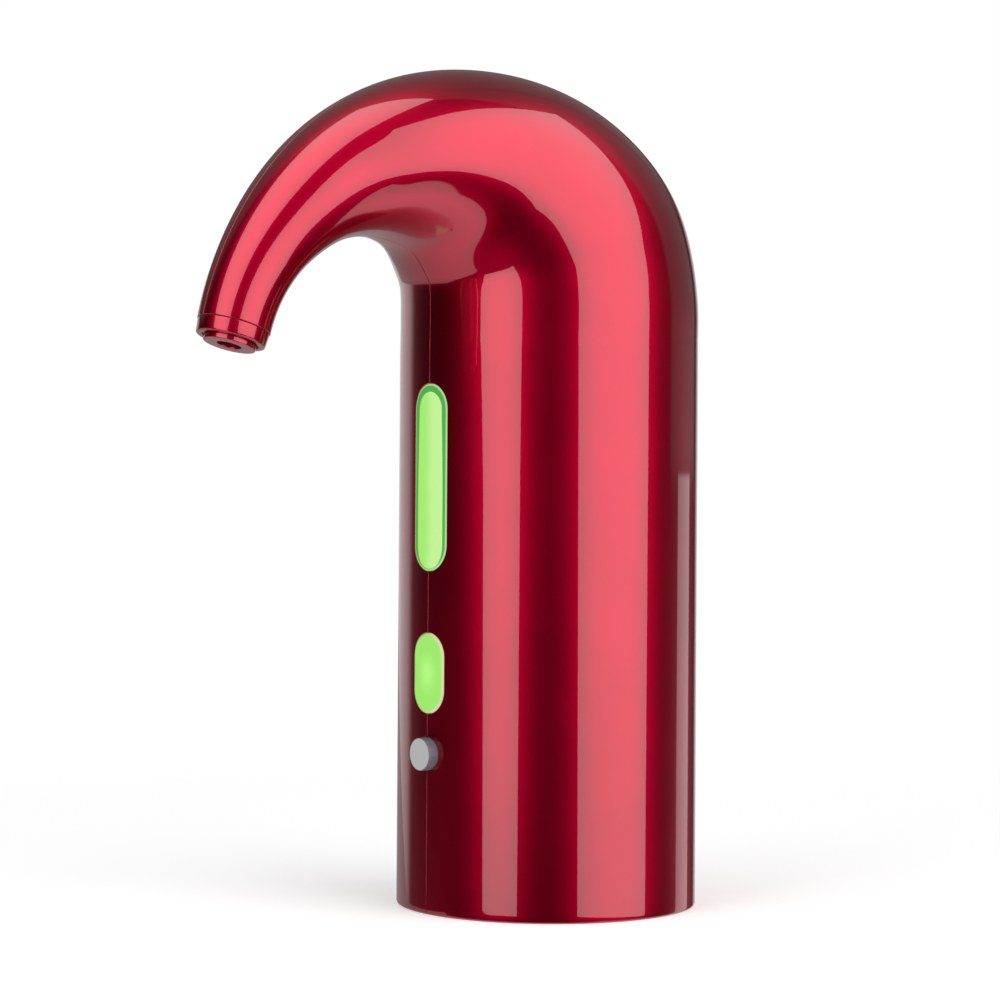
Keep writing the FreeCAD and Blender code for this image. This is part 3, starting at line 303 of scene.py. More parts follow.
class HousingForm:
    """The housing's outer surface: circles whose diameters join the back rail to the arch rail."""

    def __init__(self, sizes):
        self.radius = sizes.body_radius / MM
        self.neck_bottom = (sizes.shoulder_height - sizes.lead_in) / MM
        lean = sizes.nozzle_lean
        centre = np.array([sizes.nozzle_reach, sizes.nozzle_height]) / MM
        joint = centre + np.array([-math.sin(lean), math.cos(lean)]) * sizes.collar_height / MM
        across = np.array([math.cos(lean), math.sin(lean)]) * sizes.joint_radius / MM
        shoulder = sizes.shoulder_height / MM
        back = rail_points((-self.radius, shoulder), joint + across, sizes.back_first_radius / MM, BACK_TURNS)
        arch = rail_points((self.radius, shoulder), joint - across, sizes.arch_first_radius / MM, ARCH_TURNS)
        middles = np.concatenate([[[0.0, self.neck_bottom]], (back + arch) / 2])
        chords = np.concatenate([[[self.radius, 0.0]], (arch - back) / 2])
        self.sections = np.concatenate([middles, chords], axis=1)
        reach = np.linalg.norm(np.diff(self.sections, axis=0), axis=1)
        self.places = np.concatenate([[0.0], np.cumsum(reach)])
        self.nozzle_centre = np.array([0.0, -centre[0], centre[1]])
        self.nozzle_out = np.array([0.0, -math.sin(lean), -math.cos(lean)])

    def neck(self, share):
        """Centre, direction to the arch and radius of the sections at shares of the neck's length.

        The inset grows over the first fortieth of the length, so the neck still meets the straight body.
        """
        straight_up = np.array([0.0, 1.0, 0.0, 0.0])
        values = cubic_through(self.sections, self.places, share * self.places[-1], straight_up)
        centre = np.stack([np.zeros(len(values)), -values[:, 0], values[:, 1]], axis=1)
        chord = np.stack([np.zeros(len(values)), -values[:, 2], values[:, 3]], axis=1)
        radius = np.linalg.norm(chord, axis=1)
        inset = NECK_INSET * np.clip(share * 40.0, 0.0, 1.0)
        return centre, chord / radius[:, None], radius - inset

    def body_point(self, arc, height, depth, side):
        """Point on the straight body: the arc's angle round the axis at the radius less the depth."""
        angle = arc / self.radius
        reach = self.radius - depth
        return np.stack([side * reach * np.sin(angle), -reach * np.cos(angle), height + 0.0 * arc], axis=-1)


# Shader expressions

def math_node(operation):
    """A method that adds a Math node for the operation on a value and its arguments."""
    def method(self, *others):
        inputs = dict(enumerate((self, *others)))
        return self.tree.node("ShaderNodeMath", {"operation": operation}, inputs)
    return method


class Value:
    """A number that varies over a surface. Arithmetic on it adds Math nodes to its material."""

    def __init__(self, tree, socket):
        self.tree = tree
        self.socket = socket

    __add__ = __radd__ = math_node("ADD")
    __mul__ = __rmul__ = math_node("MULTIPLY")
    __sub__ = math_node("SUBTRACT")
    __truediv__ = math_node("DIVIDE")
    __pow__ = math_node("POWER")
    __abs__ = math_node("ABSOLUTE")
    at_least = math_node("MAXIMUM")
    at_most = math_node("MINIMUM")
    arctan2 = math_node("ARCTAN2")

    def __rsub__(self, other):
        return (self * -1.0) + other

    def above(self, low, high):
        """0 under low, 1 over high, and smooth between."""
        settings = {"interpolation_type": "SMOOTHSTEP"}
        inputs = {"Value": self, "From Min": low, "From Max": high, "To Min": 0.0, "To Max": 1.0}
        return self.tree.node("ShaderNodeMapRange", settings, inputs, "Result")


class NodeTree:
    """Adds nodes to a node tree, and links them."""

    def __init__(self, tree):
        self.nodes = tree.nodes
        self.links = tree.links

    def node(self, kind, settings=None, inputs=None, output=0):
        """One node: its settings first, then the values or links of its sockets."""
        node = self.nodes.new(kind)
        for setting, value in (settings or {}).items():
            setattr(node, setting, value)
        for socket, value in (inputs or {}).items():
            target = node.inputs[socket]
            if isinstance(value, Value):
                self.links.new(value.socket, target)
            else:
                target.default_value = value
        return Value(self, node.outputs[output])

    def axes(self, coordinates="Object"):
        """The x, y and z of a kind of texture coordinates."""
        place = self.node("ShaderNodeTexCoord", output=coordinates)
        outputs = self.node("ShaderNodeSeparateXYZ", inputs={0: place}).socket.node.outputs
        return [Value(self, outputs[index]) for index in range(3)]


class Finish(NodeTree):
    """A node material for one finish."""

    def __init__(self, name, colour, roughness, metallic=0.0, **constants):
        self.material = bpy.data.materials.new(name)
        self.material.use_nodes = True
        super().__init__(self.material.node_tree)
        self.shader = self.nodes["Principled BSDF"]
        self.material.diffuse_color = (*colour, 1.0)
        constants.update(Base_Color=(*colour, 1.0), Roughness=roughness, Metallic=metallic)
        for socket, value in constants.items():
            self.shader.inputs[socket.replace("_", " ")].default_value = value

    def place(self):
        """Object coordinates in metres."""
        return self.node("ShaderNodeTexCoord", output="Object")

    def noise(self, scale, detail=2.0, roughness=0.5):
        """Noise between 0 and 1, with its scale in waves per metre."""
        inputs = {"Vector": self.place(), "Scale": scale, "Detail": detail, "Roughness": roughness}
        return self.node("ShaderNodeTexNoise", inputs=inputs)

    def mix(self, factor, low, high):
        """A colour that goes from a low one to a high one with the factor. Each is plain or varies itself."""
        low, high = [colour if isinstance(colour, Value) else (*colour, 1.0) for colour in (low, high)]
        return self.node("ShaderNodeMix", {"data_type": "RGBA"}, {0: factor, 6: low, 7: high}, 2)

    def feed(self, socket, value):
        self.links.new(value.socket, self.shader.inputs[socket])

    def mottle(self, pattern, low, high, colour, dark, light):
        """Base colour that goes from a darker to a lighter tone as the pattern goes from low to high."""
        self.feed("Base Color", self.mix(pattern.above(low, high), shade(colour, dark), shade(colour, light)))

    def glow(self, tone, strength, unlit):
        """Light of a varying tone over a base colour that doesn't vary."""
        self.feed("Emission Color", tone)
        self.shader.inputs["Emission Strength"].default_value = strength
        self.shader.inputs["Base Color"].default_value = (*unlit, 1.0)

    def pill(self, width, length, height):
        """Sideways place, height over the pill's middle, and distance from its edge in millimetres."""
        x, y, z = self.axes()
        half_width = width / 2
        lift = z - height
        over = (abs(lift) - (length / 2 - half_width)).at_least(0.0)
        return x, lift, (half_width - (x * x + over * over) ** 0.5) / MM

    def bump(self, height, strength, distance):
        """Relief from a height in units of the distance."""
        inputs = {"Strength": strength, "Distance": distance, "Height": height}
        self.feed("Normal", self.node("ShaderNodeBump", inputs=inputs))


def shade(colour, factor):
    """A colour made darker or lighter."""
    return tuple(min(1.0, channel * factor) for channel in colour)


def lacquer_finish(colour):
    """Metallic red lacquer: soft glow from fine flakes under a sharp clear coat."""
    finish = Finish("red_lacquer", colour, 0.38, 1.0, Coat_Weight=1.0, Coat_Roughness=0.02, Coat_IOR=1.55)
    finish.mottle(finish.noise(60.0, 3.0), 0.35, 0.65, colour, 0.97, 1.03)
    finish.feed("Roughness", 0.36 + 0.04 * finish.noise(9000.0, 1.0))
    return finish


def window_finish(colours, sizes):
    """Clear window lit from behind: a pale rim that is a painted highlight, a darker green band and a bright field,
    all by distance from the edge.

    The band is wider at the top and on the left as painted shade, and thinner at the bottom as painted light.
    """
    finish = Finish("lit_window", tuple(colours.window_band), 0.12, Coat_Weight=0.6, Coat_Roughness=0.04)
    x, lift, depth = finish.pill(sizes.window_width, sizes.window_length, sizes.window_height)
    upwards = lift / (sizes.window_length / 2)
    # Painted shade and light: the dark band is widened at the top and on the left, and thinned at the bottom
    top = upwards.above(-0.2, 1.0)
    bottom = (upwards * -1.0).above(0.75, 1.0)
    left = (x / (sizes.window_width / 2) * -1.0).above(-1.0, 1.0)
    painted_shade_band_edge = 1.25 + 0.5 * top + 0.25 * left - 0.9 * bottom
    field = (depth - painted_shade_band_edge).above(-0.12, 0.12)
    # Painted highlight: a pale line along the edge, where light would catch it
    rim = 1.0 - depth.above(0.3, 0.45)
    streak = finish.noise(120.0, 2.0)
    side = (left * 1.6 - 0.45 + 0.25 * streak).above(0.1, 0.9)
    bright = finish.mix(side, colours.window_glow, colours.window_deep)
    inner = finish.mix(field, colours.window_band, bright)
    finish.glow(finish.mix(rim, inner, colours.window_rim_highlight), 0.95, (0.02, 0.06, 0.02))
    return finish


def key_finish(colours, sizes):
    """Translucent key lit from behind: brightest in the middle, with a rim of painted shade on the left and a painted
    highlight on the right.
    """
    finish = Finish("lit_key", tuple(colours.key_glow), 0.25, Coat_Weight=0.4, Coat_Roughness=0.08)
    x, lift, depth = finish.pill(sizes.key_width, sizes.key_length, sizes.key_height)
    across = x / 0.0045
    upwards = lift / 0.0065
    spread = (across * across + upwards * upwards) ** 0.5
    heart = 1.0 - (spread + 0.25 * finish.noise(500.0, 3.0)).above(0.2, 1.1)
    tone = finish.mix(heart, colours.key_deep, colours.key_glow)
    # Painted shade on the rim's left and a painted highlight on its right
    right = (x / (sizes.key_width / 2)).above(-0.9, 0.5)
    edge = finish.mix(right, colours.key_rim_painted_shade, colours.key_rim_painted_highlight)
    finish.glow(finish.mix(1.0 - depth.above(0.35, 0.6), tone, edge), 0.9, (0.05, 0.12, 0.03))
    return finish


def grained_finish(name, colour, roughness, grain, relief):
    """Plastic of one colour with a fine grain and slightly uneven gloss."""
    finish = Finish(name, colour, roughness)
    fine = finish.noise(grain, 2.0)
    finish.feed("Roughness", roughness - 0.06 + 0.12 * fine)
    finish.bump(fine, 0.4, relief)
    return finish


def moulded_finish(name, colour, roughness=0.45, grain=2500.0, relief=0.00003):
    """Grained plastic with a slightly uneven colour."""
    finish = grained_finish(name, colour, roughness, grain, relief)
    finish.mottle(finish.noise(90.0, 3.0), 0.3, 0.7, colour, 0.92, 1.08)
    return finish


def button_finish(colours, sizes):
    """Grey grained button whose side is darker with painted shade."""
    finish = grained_finish("button_grey", tuple(colours.button), 0.38, 3000.0, 0.000015)
    x, y, z = finish.axes()
    lift = z - sizes.button_height
    # Painted shade: the button's side is darker than its face
    side = ((x * x + lift * lift) ** 0.5).above(sizes.button_radius - 0.0003, sizes.button_radius - 0.0001)
    finish.feed("Base Color", finish.mix(side, colours.button, colours.button_side_painted_shade))
    return finish


def rubber_finish(name, colour):
    """Matt elastomer with a soft bloom."""
    finish = Finish(name, colour, 0.8, Sheen_Weight=0.15, Sheen_Roughness=0.6)
    bloom = finish.noise(200.0, 4.0)
    finish.mottle(bloom, 0.35, 0.7, colour, 0.85, 1.2)
    finish.feed("Roughness", 0.7 + 0.15 * bloom)
    finish.bump(finish.noise(3500.0, 2.0), 0.3, 0.00002)
    return finish


def metal_finish(name, colour, roughness=0.3):
    """Drawn or plated metal with fine lines across its height."""
    finish = Finish(name, colour, roughness, 1.0)
    scaled = finish.node("ShaderNodeMapping", inputs={"Vector": finish.place(), "Scale": (1.0, 1.0, 12.0)})
    lines = finish.node("ShaderNodeTexNoise", inputs={"Vector": scaled, "Scale": 900.0, "Detail": 3.0})
    finish.mottle(lines, 0.3, 0.7, colour, 0.9, 1.06)
    finish.feed("Roughness", roughness - 0.08 + 0.16 * lines)
    return finish


def uneven_finish(name, colour, gloss, scale, **constants):
    """One colour with uneven gloss, given as the plain roughness, the lowest one and its range."""
    roughness, lowest, reach = gloss
    finish = Finish(name, colour, roughness, **constants)
    finish.feed("Roughness", lowest + reach * finish.noise(scale, 2.0))
    return finish


def board_finish():
    """Solder mask with copper tracks that show faintly through it."""
    colour = (0.02, 0.16, 0.06)
    finish = Finish("board_mask", colour, 0.35, Coat_Weight=0.3, Coat_Roughness=0.2)
    inputs = {"Vector": finish.place(), "Scale": 450.0, "Randomness": 0.0}
    tracks = finish.node("ShaderNodeTexVoronoi", {"feature": "DISTANCE_TO_EDGE"}, inputs)
    line = 1.0 - tracks.above(0.04, 0.08)
    finish.feed("Base Color", finish.mix(line, colour, shade(colour, 1.8)))
    finish.bump(line, 0.4, 0.00003)
    return finish


# Housing

class HalfShell:
    """Sheets of points, in millimetres, of one half shell: the left one for side -1, the right one for 1.

    Arcs run round the body from the front seam, and a depth is measured inwards from the body's surface.
    """

    def __init__(self, form, sizes, side):
        self.form = form
        self.side = side
        self.half_gap = sizes.seam_gap / MM / 2
        self.seam = sizes.seam_round / MM
        self.edge = sizes.opening_round / MM
        self.foot = sizes.foot_round / MM
        self.wall = sizes.wall / MM
        self.half = math.pi * form.radius
        near = [*NEAR_EDGE, 0.085, 0.12, 0.16, 0.24, 0.45, 0.8]
        self.columns = np.concatenate([near, np.linspace(1.3, STRIP_WIDTH, int(STRIP_WIDTH / 1.1))])
        self.middle = np.linspace(STRIP_WIDTH, self.half - STRIP_WIDTH, 71)[1:-1]
        front = self.columns + self.half_gap
        self.arcs = np.concatenate([front, self.middle, (self.half - self.half_gap - self.columns)[::-1]])
        fine = self.foot * (1.0 - np.cos(np.linspace(0.0, math.pi / 2, 7)))
        levels = [self.foot + 1.2, *PORT_SPAN, *BUTTON_SPAN, KEY_SPAN[1], *WINDOW_SPAN, form.neck_bottom]
        spans = [
            np.linspace(low, high, max(2, round(high - low)) + 1)[1:] for low, high in zip(levels, levels[1:])]
        self.rows = np.concatenate([fine, levels[:1], *spans])

    def rows_between(self, low, high):
        return self.rows[(self.rows > low - 1e-6) & (self.rows < high + 1e-6)]

    def sheet(self, arc, height, depth, back):
        """Points on the straight body, with arcs from the shell's edge at the front seam or at the back one."""
        arc = np.maximum(arc, 0.0) + self.half_gap
        if back:
            arc = self.half - arc
        return self.form.body_point(arc, height, depth, self.side)

    def plain_strip(self, low, high, back):
        """The wall beside a seam where there is no opening."""
        arc, height = np.meshgrid(np.append(0.0, self.columns), self.rows_between(low, high))
        depth = roll_depth(arc, self.seam)
        depth[:, 0] += SEAM_WALL
        return self.sheet(arc, height, depth, back)

    def opening_patch(self, span, back, gap, *shape):
        """The wall round half an opening: straight lines from the opening's outline to the patch's border.

        The depth is the seam's rounded edge plus the opening's, each by its own distance.
        """
        gap, middle, width, length = np.array([gap, *shape]) / MM
        rows = self.rows_between(*span)
        low = np.stack([self.columns, np.full_like(self.columns, rows[0])], axis=1)
        tall = np.stack([np.full(len(rows) - 2, STRIP_WIDTH), rows[1:-1]], axis=1)
        high = np.stack([self.columns[::-1], np.full_like(self.columns, rows[-1])], axis=1)
        border = np.concatenate([low, tall, high])
        box = (width / 2 + gap, length / 2 + gap, min(width, length) / 2 + gap)
        share = 0.22 if length > width else 0.3
        low_places = share * self.columns / STRIP_WIDTH
        tall_places = np.linspace(share, 1.0 - share, len(rows))[1:-1]
        places = np.concatenate([low_places, tall_places, 1.0 - low_places[::-1]])
        hole = along_outline(rounded_box_outline(*box), places) + [0.0, middle]
        reach = np.linalg.norm(border - hole, axis=1)
        near = np.array([*NEAR_EDGE, 0.09, 0.13, 0.18, 0.3, 0.6])[:, None]
        growth = np.linspace(0.0, 1.0, 9)[1:, None] ** 1.2
        steps = np.concatenate([near + 0.0 * reach, near[-1] + (reach - near[-1]) * growth])
        points = hole + (border - hole) / reach[:, None] * steps[:, :, None]
        arc, height = points[:, :, 0], points[:, :, 1]
        depth = roll_depth(arc, self.seam) + roll_depth(rounded_box_distance(arc, height - middle, *box), self.edge)
        depth = np.concatenate([depth[:1] + 1.6, depth[:1] + 0.5, depth])
        inwards = np.r_[0, 0, 0:len(arc)]
        ends = np.r_[0, 0:arc.shape[1], -1]
        depth = depth[:, ends]
        depth[:, [0, -1]] += SEAM_WALL
        return self.sheet(arc[inwards][:, ends], height[inwards][:, ends], depth, back)

    def side_strip(self):
        """The wall between the strips beside the two seams."""
        first = self.half_gap + STRIP_WIDTH
        arcs = np.concatenate([[first], self.middle, [self.half - first]])
        arc, height = np.meshgrid(arcs, self.rows_between(self.foot, self.form.neck_bottom))
        return self.form.body_point(arc, height, 0.0, self.side)

    def foot_strip(self):
        """The rounded foot: up the inside, across the underside and round the edge to the outside."""
        turn = np.linspace(0.0, math.pi / 2, 7)
        height = np.concatenate([[FOOT_WALL, 0.0], self.foot * (1.0 - np.cos(turn))])
        depth = np.concatenate([[self.wall, self.wall], self.foot * (1.0 - np.sin(turn))])
        arc, height = np.meshgrid(self.arcs, height)
        from_seam = np.minimum(arc, self.half - arc)
        depth = depth[:, None] + roll_depth(np.maximum(from_seam - self.half_gap, 0.0), self.seam)
        return self.form.body_point(arc, height, depth, self.side)

    def neck_strip(self, count):
        """The bent neck, down to a rounded end that turns into the shell.

        A column's angle is its arc over the body's radius, and near a seam it keeps its arc over the
        local radius, so the seam is as wide along the whole neck.
        """
        length = self.form.places[-1]
        from_end = np.array([0.5, 0.3, 0.17, 0.1, 0.06, 0.03, 0.01, 0.0, 0.0]) + END_CLEARANCE
        first = np.linspace(0.0, 1.0 - (0.8 + END_CLEARANCE) / length, count)
        share = np.concatenate([first, 1.0 - from_end / length])
        centre, chord, radius = self.form.neck(share)
        radius = radius[:, None]
        from_seam = np.minimum(self.arcs, self.half - self.arcs)
        hold = np.clip(1.0 - from_seam / (self.half / 2), 0.0, 1.0) ** 6
        angle = from_seam / self.form.radius + from_seam * hold * (1.0 / radius - 1.0 / self.form.radius)
        depth = roll_depth(np.maximum(angle * radius - self.half_gap, 0.0), self.seam)
        depth = depth + roll_depth((share[-1] - share) * length, 0.2)[:, None]
        depth[-1] += SEAM_WALL
        angle = np.where(self.arcs > self.half / 2, math.pi - angle, angle)
        along = np.cos(angle)[:, :, None] * chord[:, None, :] + self.side * np.sin(angle)[:, :, None] * RIGHT
        return centre[:, None, :] + (radius - depth)[:, :, None] * along


class AERATOR_OT_housing(bpy.types.Operator):
    """Build the two lacquered half shells"""
    bl_idname = "aerator.housing"
    bl_label = "Housing"

    def execute(self, context):
        scene = context.scene
        sizes = scene.housing_sizes
        fronts = scene.front_sizes
        form = HousingForm(sizes)
        finish = lacquer_finish(tuple(scene.finish_colours.lacquer))
        gap = fronts.opening_gap
        across = fronts.button_radius * 2
        openings = (
            (PORT_SPAN, True, 0.0, fronts.port_height, fronts.port_width, fronts.port_depth),
            (BUTTON_SPAN, False, gap, fronts.button_height, across, across),
            (KEY_SPAN, False, gap, fronts.key_height, fronts.key_width, fronts.key_length),
            (WINDOW_SPAN, False, gap, fronts.window_height, fronts.window_width, fronts.window_length),
        )
        for side, name in ((-1, "left_shell"), (1, "right_shell")):
            shell = HalfShell(form, sizes, side)
            foot, top = shell.foot, form.neck_bottom
            sheets = [shell.opening_patch(*opening) for opening in openings]
            for low, high in ((foot, BUTTON_SPAN[0]), (KEY_SPAN[1], WINDOW_SPAN[0]), (WINDOW_SPAN[1], top)):
                sheets.append(shell.plain_strip(low, high, False))
            for low, high in ((foot, PORT_SPAN[0]), (PORT_SPAN[1], top)):
                sheets.append(shell.plain_strip(low, high, True))
            sheets += [shell.side_strip(), shell.foot_strip(), shell.neck_strip(sizes.neck_rows)]
            add_piece(
                name + "_skin", sheets, "housing", finish.material, (name,), side=side)
        return {"FINISHED"}


# Spout's end

def add_turned(name, profile, centre, axis, slot, finish, nodes, body="housing", count=96):
    """A piece of revolution: each profile point (radius, height) is carried round the axis.

    It faces outwards whichever way its profile runs.
    """
    angle = np.linspace(0.0, 2 * math.pi, count + 1)[:, None]
    ring = np.cos(angle) * RIGHT + np.sin(angle) * np.cross(axis, RIGHT)
    radius, height = profile.T[:, :, None, None]
    sheet = centre + height * axis + radius * ring
    area = np.sum(profile[:-1, 0] * profile[1:, 1] - profile[1:, 0] * profile[:-1, 1])
    add_piece(name, [sheet], body, finish.material, nodes, flip=area < 0)


def rounded_profile(corners, radii, steps=6):
    """A profile with its corners rounded: each corner gives way to a curve between the points at its radius."""
    corners = np.array(corners, dtype=float)
    parts = [corners[:1]]
    blend = np.linspace(0.0, 1.0, steps)[:, None]
    for before, corner, after, radius in zip(corners, corners[1:], corners[2:], radii):
        start = corner + (before - corner) / np.linalg.norm(before - corner) * radius
        end = corner + (after - corner) / np.linalg.norm(after - corner) * radius
        parts.append((1 - blend) ** 2 * start + 2 * blend * (1 - blend) * corner + blend ** 2 * end)
    parts.append(corners[-1:])
    return np.concatenate(parts)


class AERATOR_OT_spout_end(bpy.types.Operator):
    """Build the collar and the outlet at the spout's end"""
    bl_idname = "aerator.spout_end"
    bl_label = "Spout end"

    def execute(self, context):
        scene = context.scene
        sizes = scene.housing_sizes
        form = HousingForm(sizes)
        place = (form.nozzle_centre, -form.nozzle_out)
        rim = sizes.nozzle_radius / MM - 0.19
        joint = sizes.joint_radius / MM - 0.25
        height = sizes.collar_height / MM - 0.03
        collar = rounded_profile(
            [(5.05, 3.2), (5.05, 0.6), (6.7, 0.6), (6.7, 0.0), (rim, 0.0), (joint, height), (joint - 1.6, height)],
            [0.1, 0.1, 0.12, 0.5, 0.2])
        tip = rounded_profile(
            [(2.2, 4.8), (2.9, 4.4), (2.9, -1.2), (6.2, -1.2), (6.2, 0.6)], [0.2, 0.3, 0.25])
        finish = lacquer_finish(tuple(scene.finish_colours.lacquer))
        add_turned("nozzle_collar_ring", collar, *place, "lacquered_shell", finish, ("nozzle_collar",))
        add_turned("nozzle_tip_boss", tip, *place, "outlet_plastic", finish, ("nozzle_tip",))
        return {"FINISHED"}


# Window and keys

def pill_layers(width, length, edge, inner):
    """A pill's layers from its side over the insets of its rounded edge to the middle: insets and points.

    Each layer is the outline, moved by its inset towards the line between the centres of the round ends.
    """
    half_width = width / MM / 2
    half_length = length / MM / 2
    insets = np.concatenate([[0.0, 0.0], edge, np.linspace(inner, half_width, 12)])
    right = along_outline(rounded_box_outline(half_width, half_length, half_width), np.linspace(0.0, 1.0, 120))
    outline = np.concatenate([right, right[::-1] * [-1.0, 1.0]])
    straight = half_length - half_width
    spine = np.stack([np.zeros(len(outline)), np.clip(outline[:, 1], -straight, straight)], axis=1)
    points = outline + (insets / half_width)[:, None, None] * (spine - outline)
    return insets, points[:, :, 0], points[:, :, 1]


class AERATOR_OT_window(bpy.types.Operator):
    """Build the lit window, flush with the body"""
    bl_idname = "aerator.window"
    bl_label = "Window"

    def execute(self, context):
        scene = context.scene
        fronts = scene.front_sizes
        form = HousingForm(scene.housing_sizes)
        edge = [0.0, 0.02, 0.05, 0.09, 0.14, 0.2, 0.3]
        insets, across, along = pill_layers(fronts.window_width, fronts.window_length, edge, 0.5)
        depth = 0.02 + roll_depth(insets, 0.2)
        depth[:2] = 2.52, 0.62
        sheet = form.body_point(across, along + fronts.window_height / MM, depth[:, None], 1)
        finish = window_finish(scene.finish_colours, fronts)
        add_piece("window_lens", [sheet], "housing", finish.material, ("light_window",))
        return {"FINISHED"}


class AERATOR_OT_pour_key(bpy.types.Operator):
    """Build the pour key, curved like the body"""
    bl_idname = "aerator.pour_key"
    bl_label = "Pour key"

    def execute(self, context):
        scene = context.scene
        fronts = scene.front_sizes
        radius = (scene.housing_sizes.body_radius + fronts.key_stand) / MM
        edge = 0.3
        round_edge = edge * (1 - np.cos(np.linspace(0, math.pi / 2, 8)))
        insets, across, along = pill_layers(fronts.key_width, fronts.key_length, round_edge, 0.7)
        front = np.sqrt(radius ** 2 - across ** 2) - roll_depth(insets, edge)[:, None]
        front[0] -= 3.0
        front[1] -= 0.8
        sheet = np.stack([across, -front, along + fronts.key_height / MM], axis=-1)
        finish = key_finish(scene.finish_colours, fronts)
        add_piece("pour_key_cap", [sheet], "pour_lever", finish.material, ("pour_key",))
        return {"FINISHED"}


class AERATOR_OT_power_button(bpy.types.Operator):
    """Build the round power button"""
    bl_idname = "aerator.power_button"
    bl_label = "Power button"

    def execute(self, context):
        scene = context.scene
        fronts = scene.front_sizes
        radius = fronts.button_radius / MM
        stand = (scene.housing_sizes.body_radius + fronts.button_stand) / MM
        profile = rounded_profile(
            [(radius, 34.0), (radius, stand), (radius - 0.5, stand), (0.0, stand - 0.06)], [0.22, 0.15])
        finish = button_finish(scene.finish_colours, fronts)
        centre = UP * fronts.button_height / MM
        add_turned(
            "power_button_cap", profile, centre, FRONT, "button_plastic", finish, ("power_button",), "power_key", 72)
        return {"FINISHED"}


# Pieces that keep their own shape

def node_finishes():
    """The finish of each piece that keeps the shape it comes with."""
    groups = (
        (moulded_finish("milky_diffuser", (0.72, 0.85, 0.66), 0.4), "aerator_insert light_guide check_valve"),
        (uneven_finish("lamp_resin", (0.6, 0.85, 0.5), (0.15, 0.1, 0.1), 400.0, Coat_Weight=0.5), "green_leds"),
        (moulded_finish("moulded_dark", (0.05, 0.05, 0.055)),
         "pour_plunger power_plunger tact_switches chassis manifold"),
        (moulded_finish("moulded_black", (0.02, 0.018, 0.02), 0.5, 1800.0, 0.00005), "base_cover"),
        (rubber_finish("foot_elastomer", (0.03, 0.03, 0.03)), "foot_ring"),
        (rubber_finish("seal_elastomer", (0.12, 0.12, 0.125)), "bottle_seal pump_diaphragm"),
        (board_finish(), "main_board"),
        (board_finish(), "charge_board"),
        (uneven_finish("clear_silicone", (0.7, 0.71, 0.68), (0.35, 0.3, 0.12), 300.0, Transmission_Weight=0.3),
         "wine_hose air_hose_lower air_hose_upper"),
        (moulded_finish("pump_plastic", (0.035, 0.035, 0.04), 0.42),
         "pump_cover valve_plate pump_housing eccentric swing_plate"),
        (metal_finish("motor_can", (0.6, 0.6, 0.6), 0.28), "pump_motor"),
        (metal_finish("ground_steel", (0.62, 0.62, 0.62), 0.2), "motor_shaft crank_pin"),
        (uneven_finish("cell_sleeve", (0.05, 0.16, 0.45), (0.3, 0.25, 0.12), 150.0, Coat_Weight=0.4), "battery_cell"),
        (moulded_finish("lead_sleeve", (0.4, 0.02, 0.02), 0.4), "motor_leads cell_leads"),
        (metal_finish("nickel_shell", (0.66, 0.64, 0.6), 0.22), "charge_socket"),
        (metal_finish("plated_steel", (0.56, 0.56, 0.54)),
         "cell_contacts pump_screws board_screws frame_screws manifold_screws base_screws"),
    )
    return {name: finish for finish, names in groups for name in names.split()}


class AERATOR_OT_kept_pieces(bpy.types.Operator):
    """Give the pieces that keep their own shape their finishes"""
    bl_idname = "aerator.kept_pieces"
    bl_label = "Kept pieces"

    def execute(self, context):
        for name, finish in node_finishes().items():
            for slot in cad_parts[name].material_slots:
                slot.material = finish.material
        return {"FINISHED"}


# Studio

def add_camera(scene, studio):
    """The camera at the photograph's viewing angle: it faces the body's axis, then yaws, pitches and rolls."""
    azimuth = studio.azimuth
    ahead = np.array([-math.sin(azimuth), math.cos(azimuth), 0.0])
    right = np.array([math.cos(azimuth), math.sin(azimuth), 0.0])
    place = UP * studio.height - ahead * studio.distance
    forward = math.cos(studio.yaw) * ahead + math.sin(studio.yaw) * right
    right = math.cos(studio.yaw) * right - math.sin(studio.yaw) * ahead
    forward = math.cos(studio.pitch) * forward + math.sin(studio.pitch) * UP
    right = math.cos(studio.roll) * right + math.sin(studio.roll) * np.cross(right, forward)
    up = np.cross(right, forward)
    data = bpy.data.cameras.new("camera")
    data.lens = studio.lens
    data.sensor_width = 36.0
    data.sensor_fit = "HORIZONTAL"
    data.clip_start = 0.01
    data.clip_end = 50.0
    camera = bpy.data.objects.new("camera", data)
    camera.matrix_world = Matrix([*np.stack([right, up, -forward, place], axis=1), (0.0, 0.0, 0.0, 1.0)])
    scene.collection.objects.link(camera)
    scene.camera = camera


def add_softbox(scene, studio, name, bearing, distance, turn, rows):
    """A glowing sheet that lights the object and shows in its lacquer, hidden from the camera.

    It stands at a bearing in degrees to the right of the camera, at a level distance from the body's
    axis, and its turn faces it away from that axis. Each row gives the height of an edge above the last
    one along the sheet, the tilt of the sheet up to there, and the edge's width and sideways shift.
    """
    angle = studio.azimuth + math.radians(bearing)
    facing = angle + math.radians(turn)
    back = np.array([math.sin(facing), -math.cos(facing), 0.0])
    right = np.cross(UP, back)
    middle = np.array([distance * math.sin(angle), -distance * math.cos(angle), 0.1])
    points = []
    for height, tilt, width, shift in rows:
        lean = math.radians(tilt)
        middle = middle + height * (math.cos(lean) * UP - math.sin(lean) * back)
        points += [middle + right * (shift - width / 2), middle + right * (shift + width / 2)]
    material = bpy.data.materials.new(name)
    material.use_nodes = True
    tree = NodeTree(material.node_tree)
    tree.nodes.clear()
    glow = tree.node("ShaderNodeEmission", inputs={"Strength": PANEL_RADIANCE * studio.softbox_level})
    output = tree.nodes.new("ShaderNodeOutputMaterial")
    tree.links.new(glow.socket, output.inputs["Surface"])
    sheet = studio_sheet(scene, name, points, grid_quads(len(rows), 2), material)
    sheet.visible_camera = False


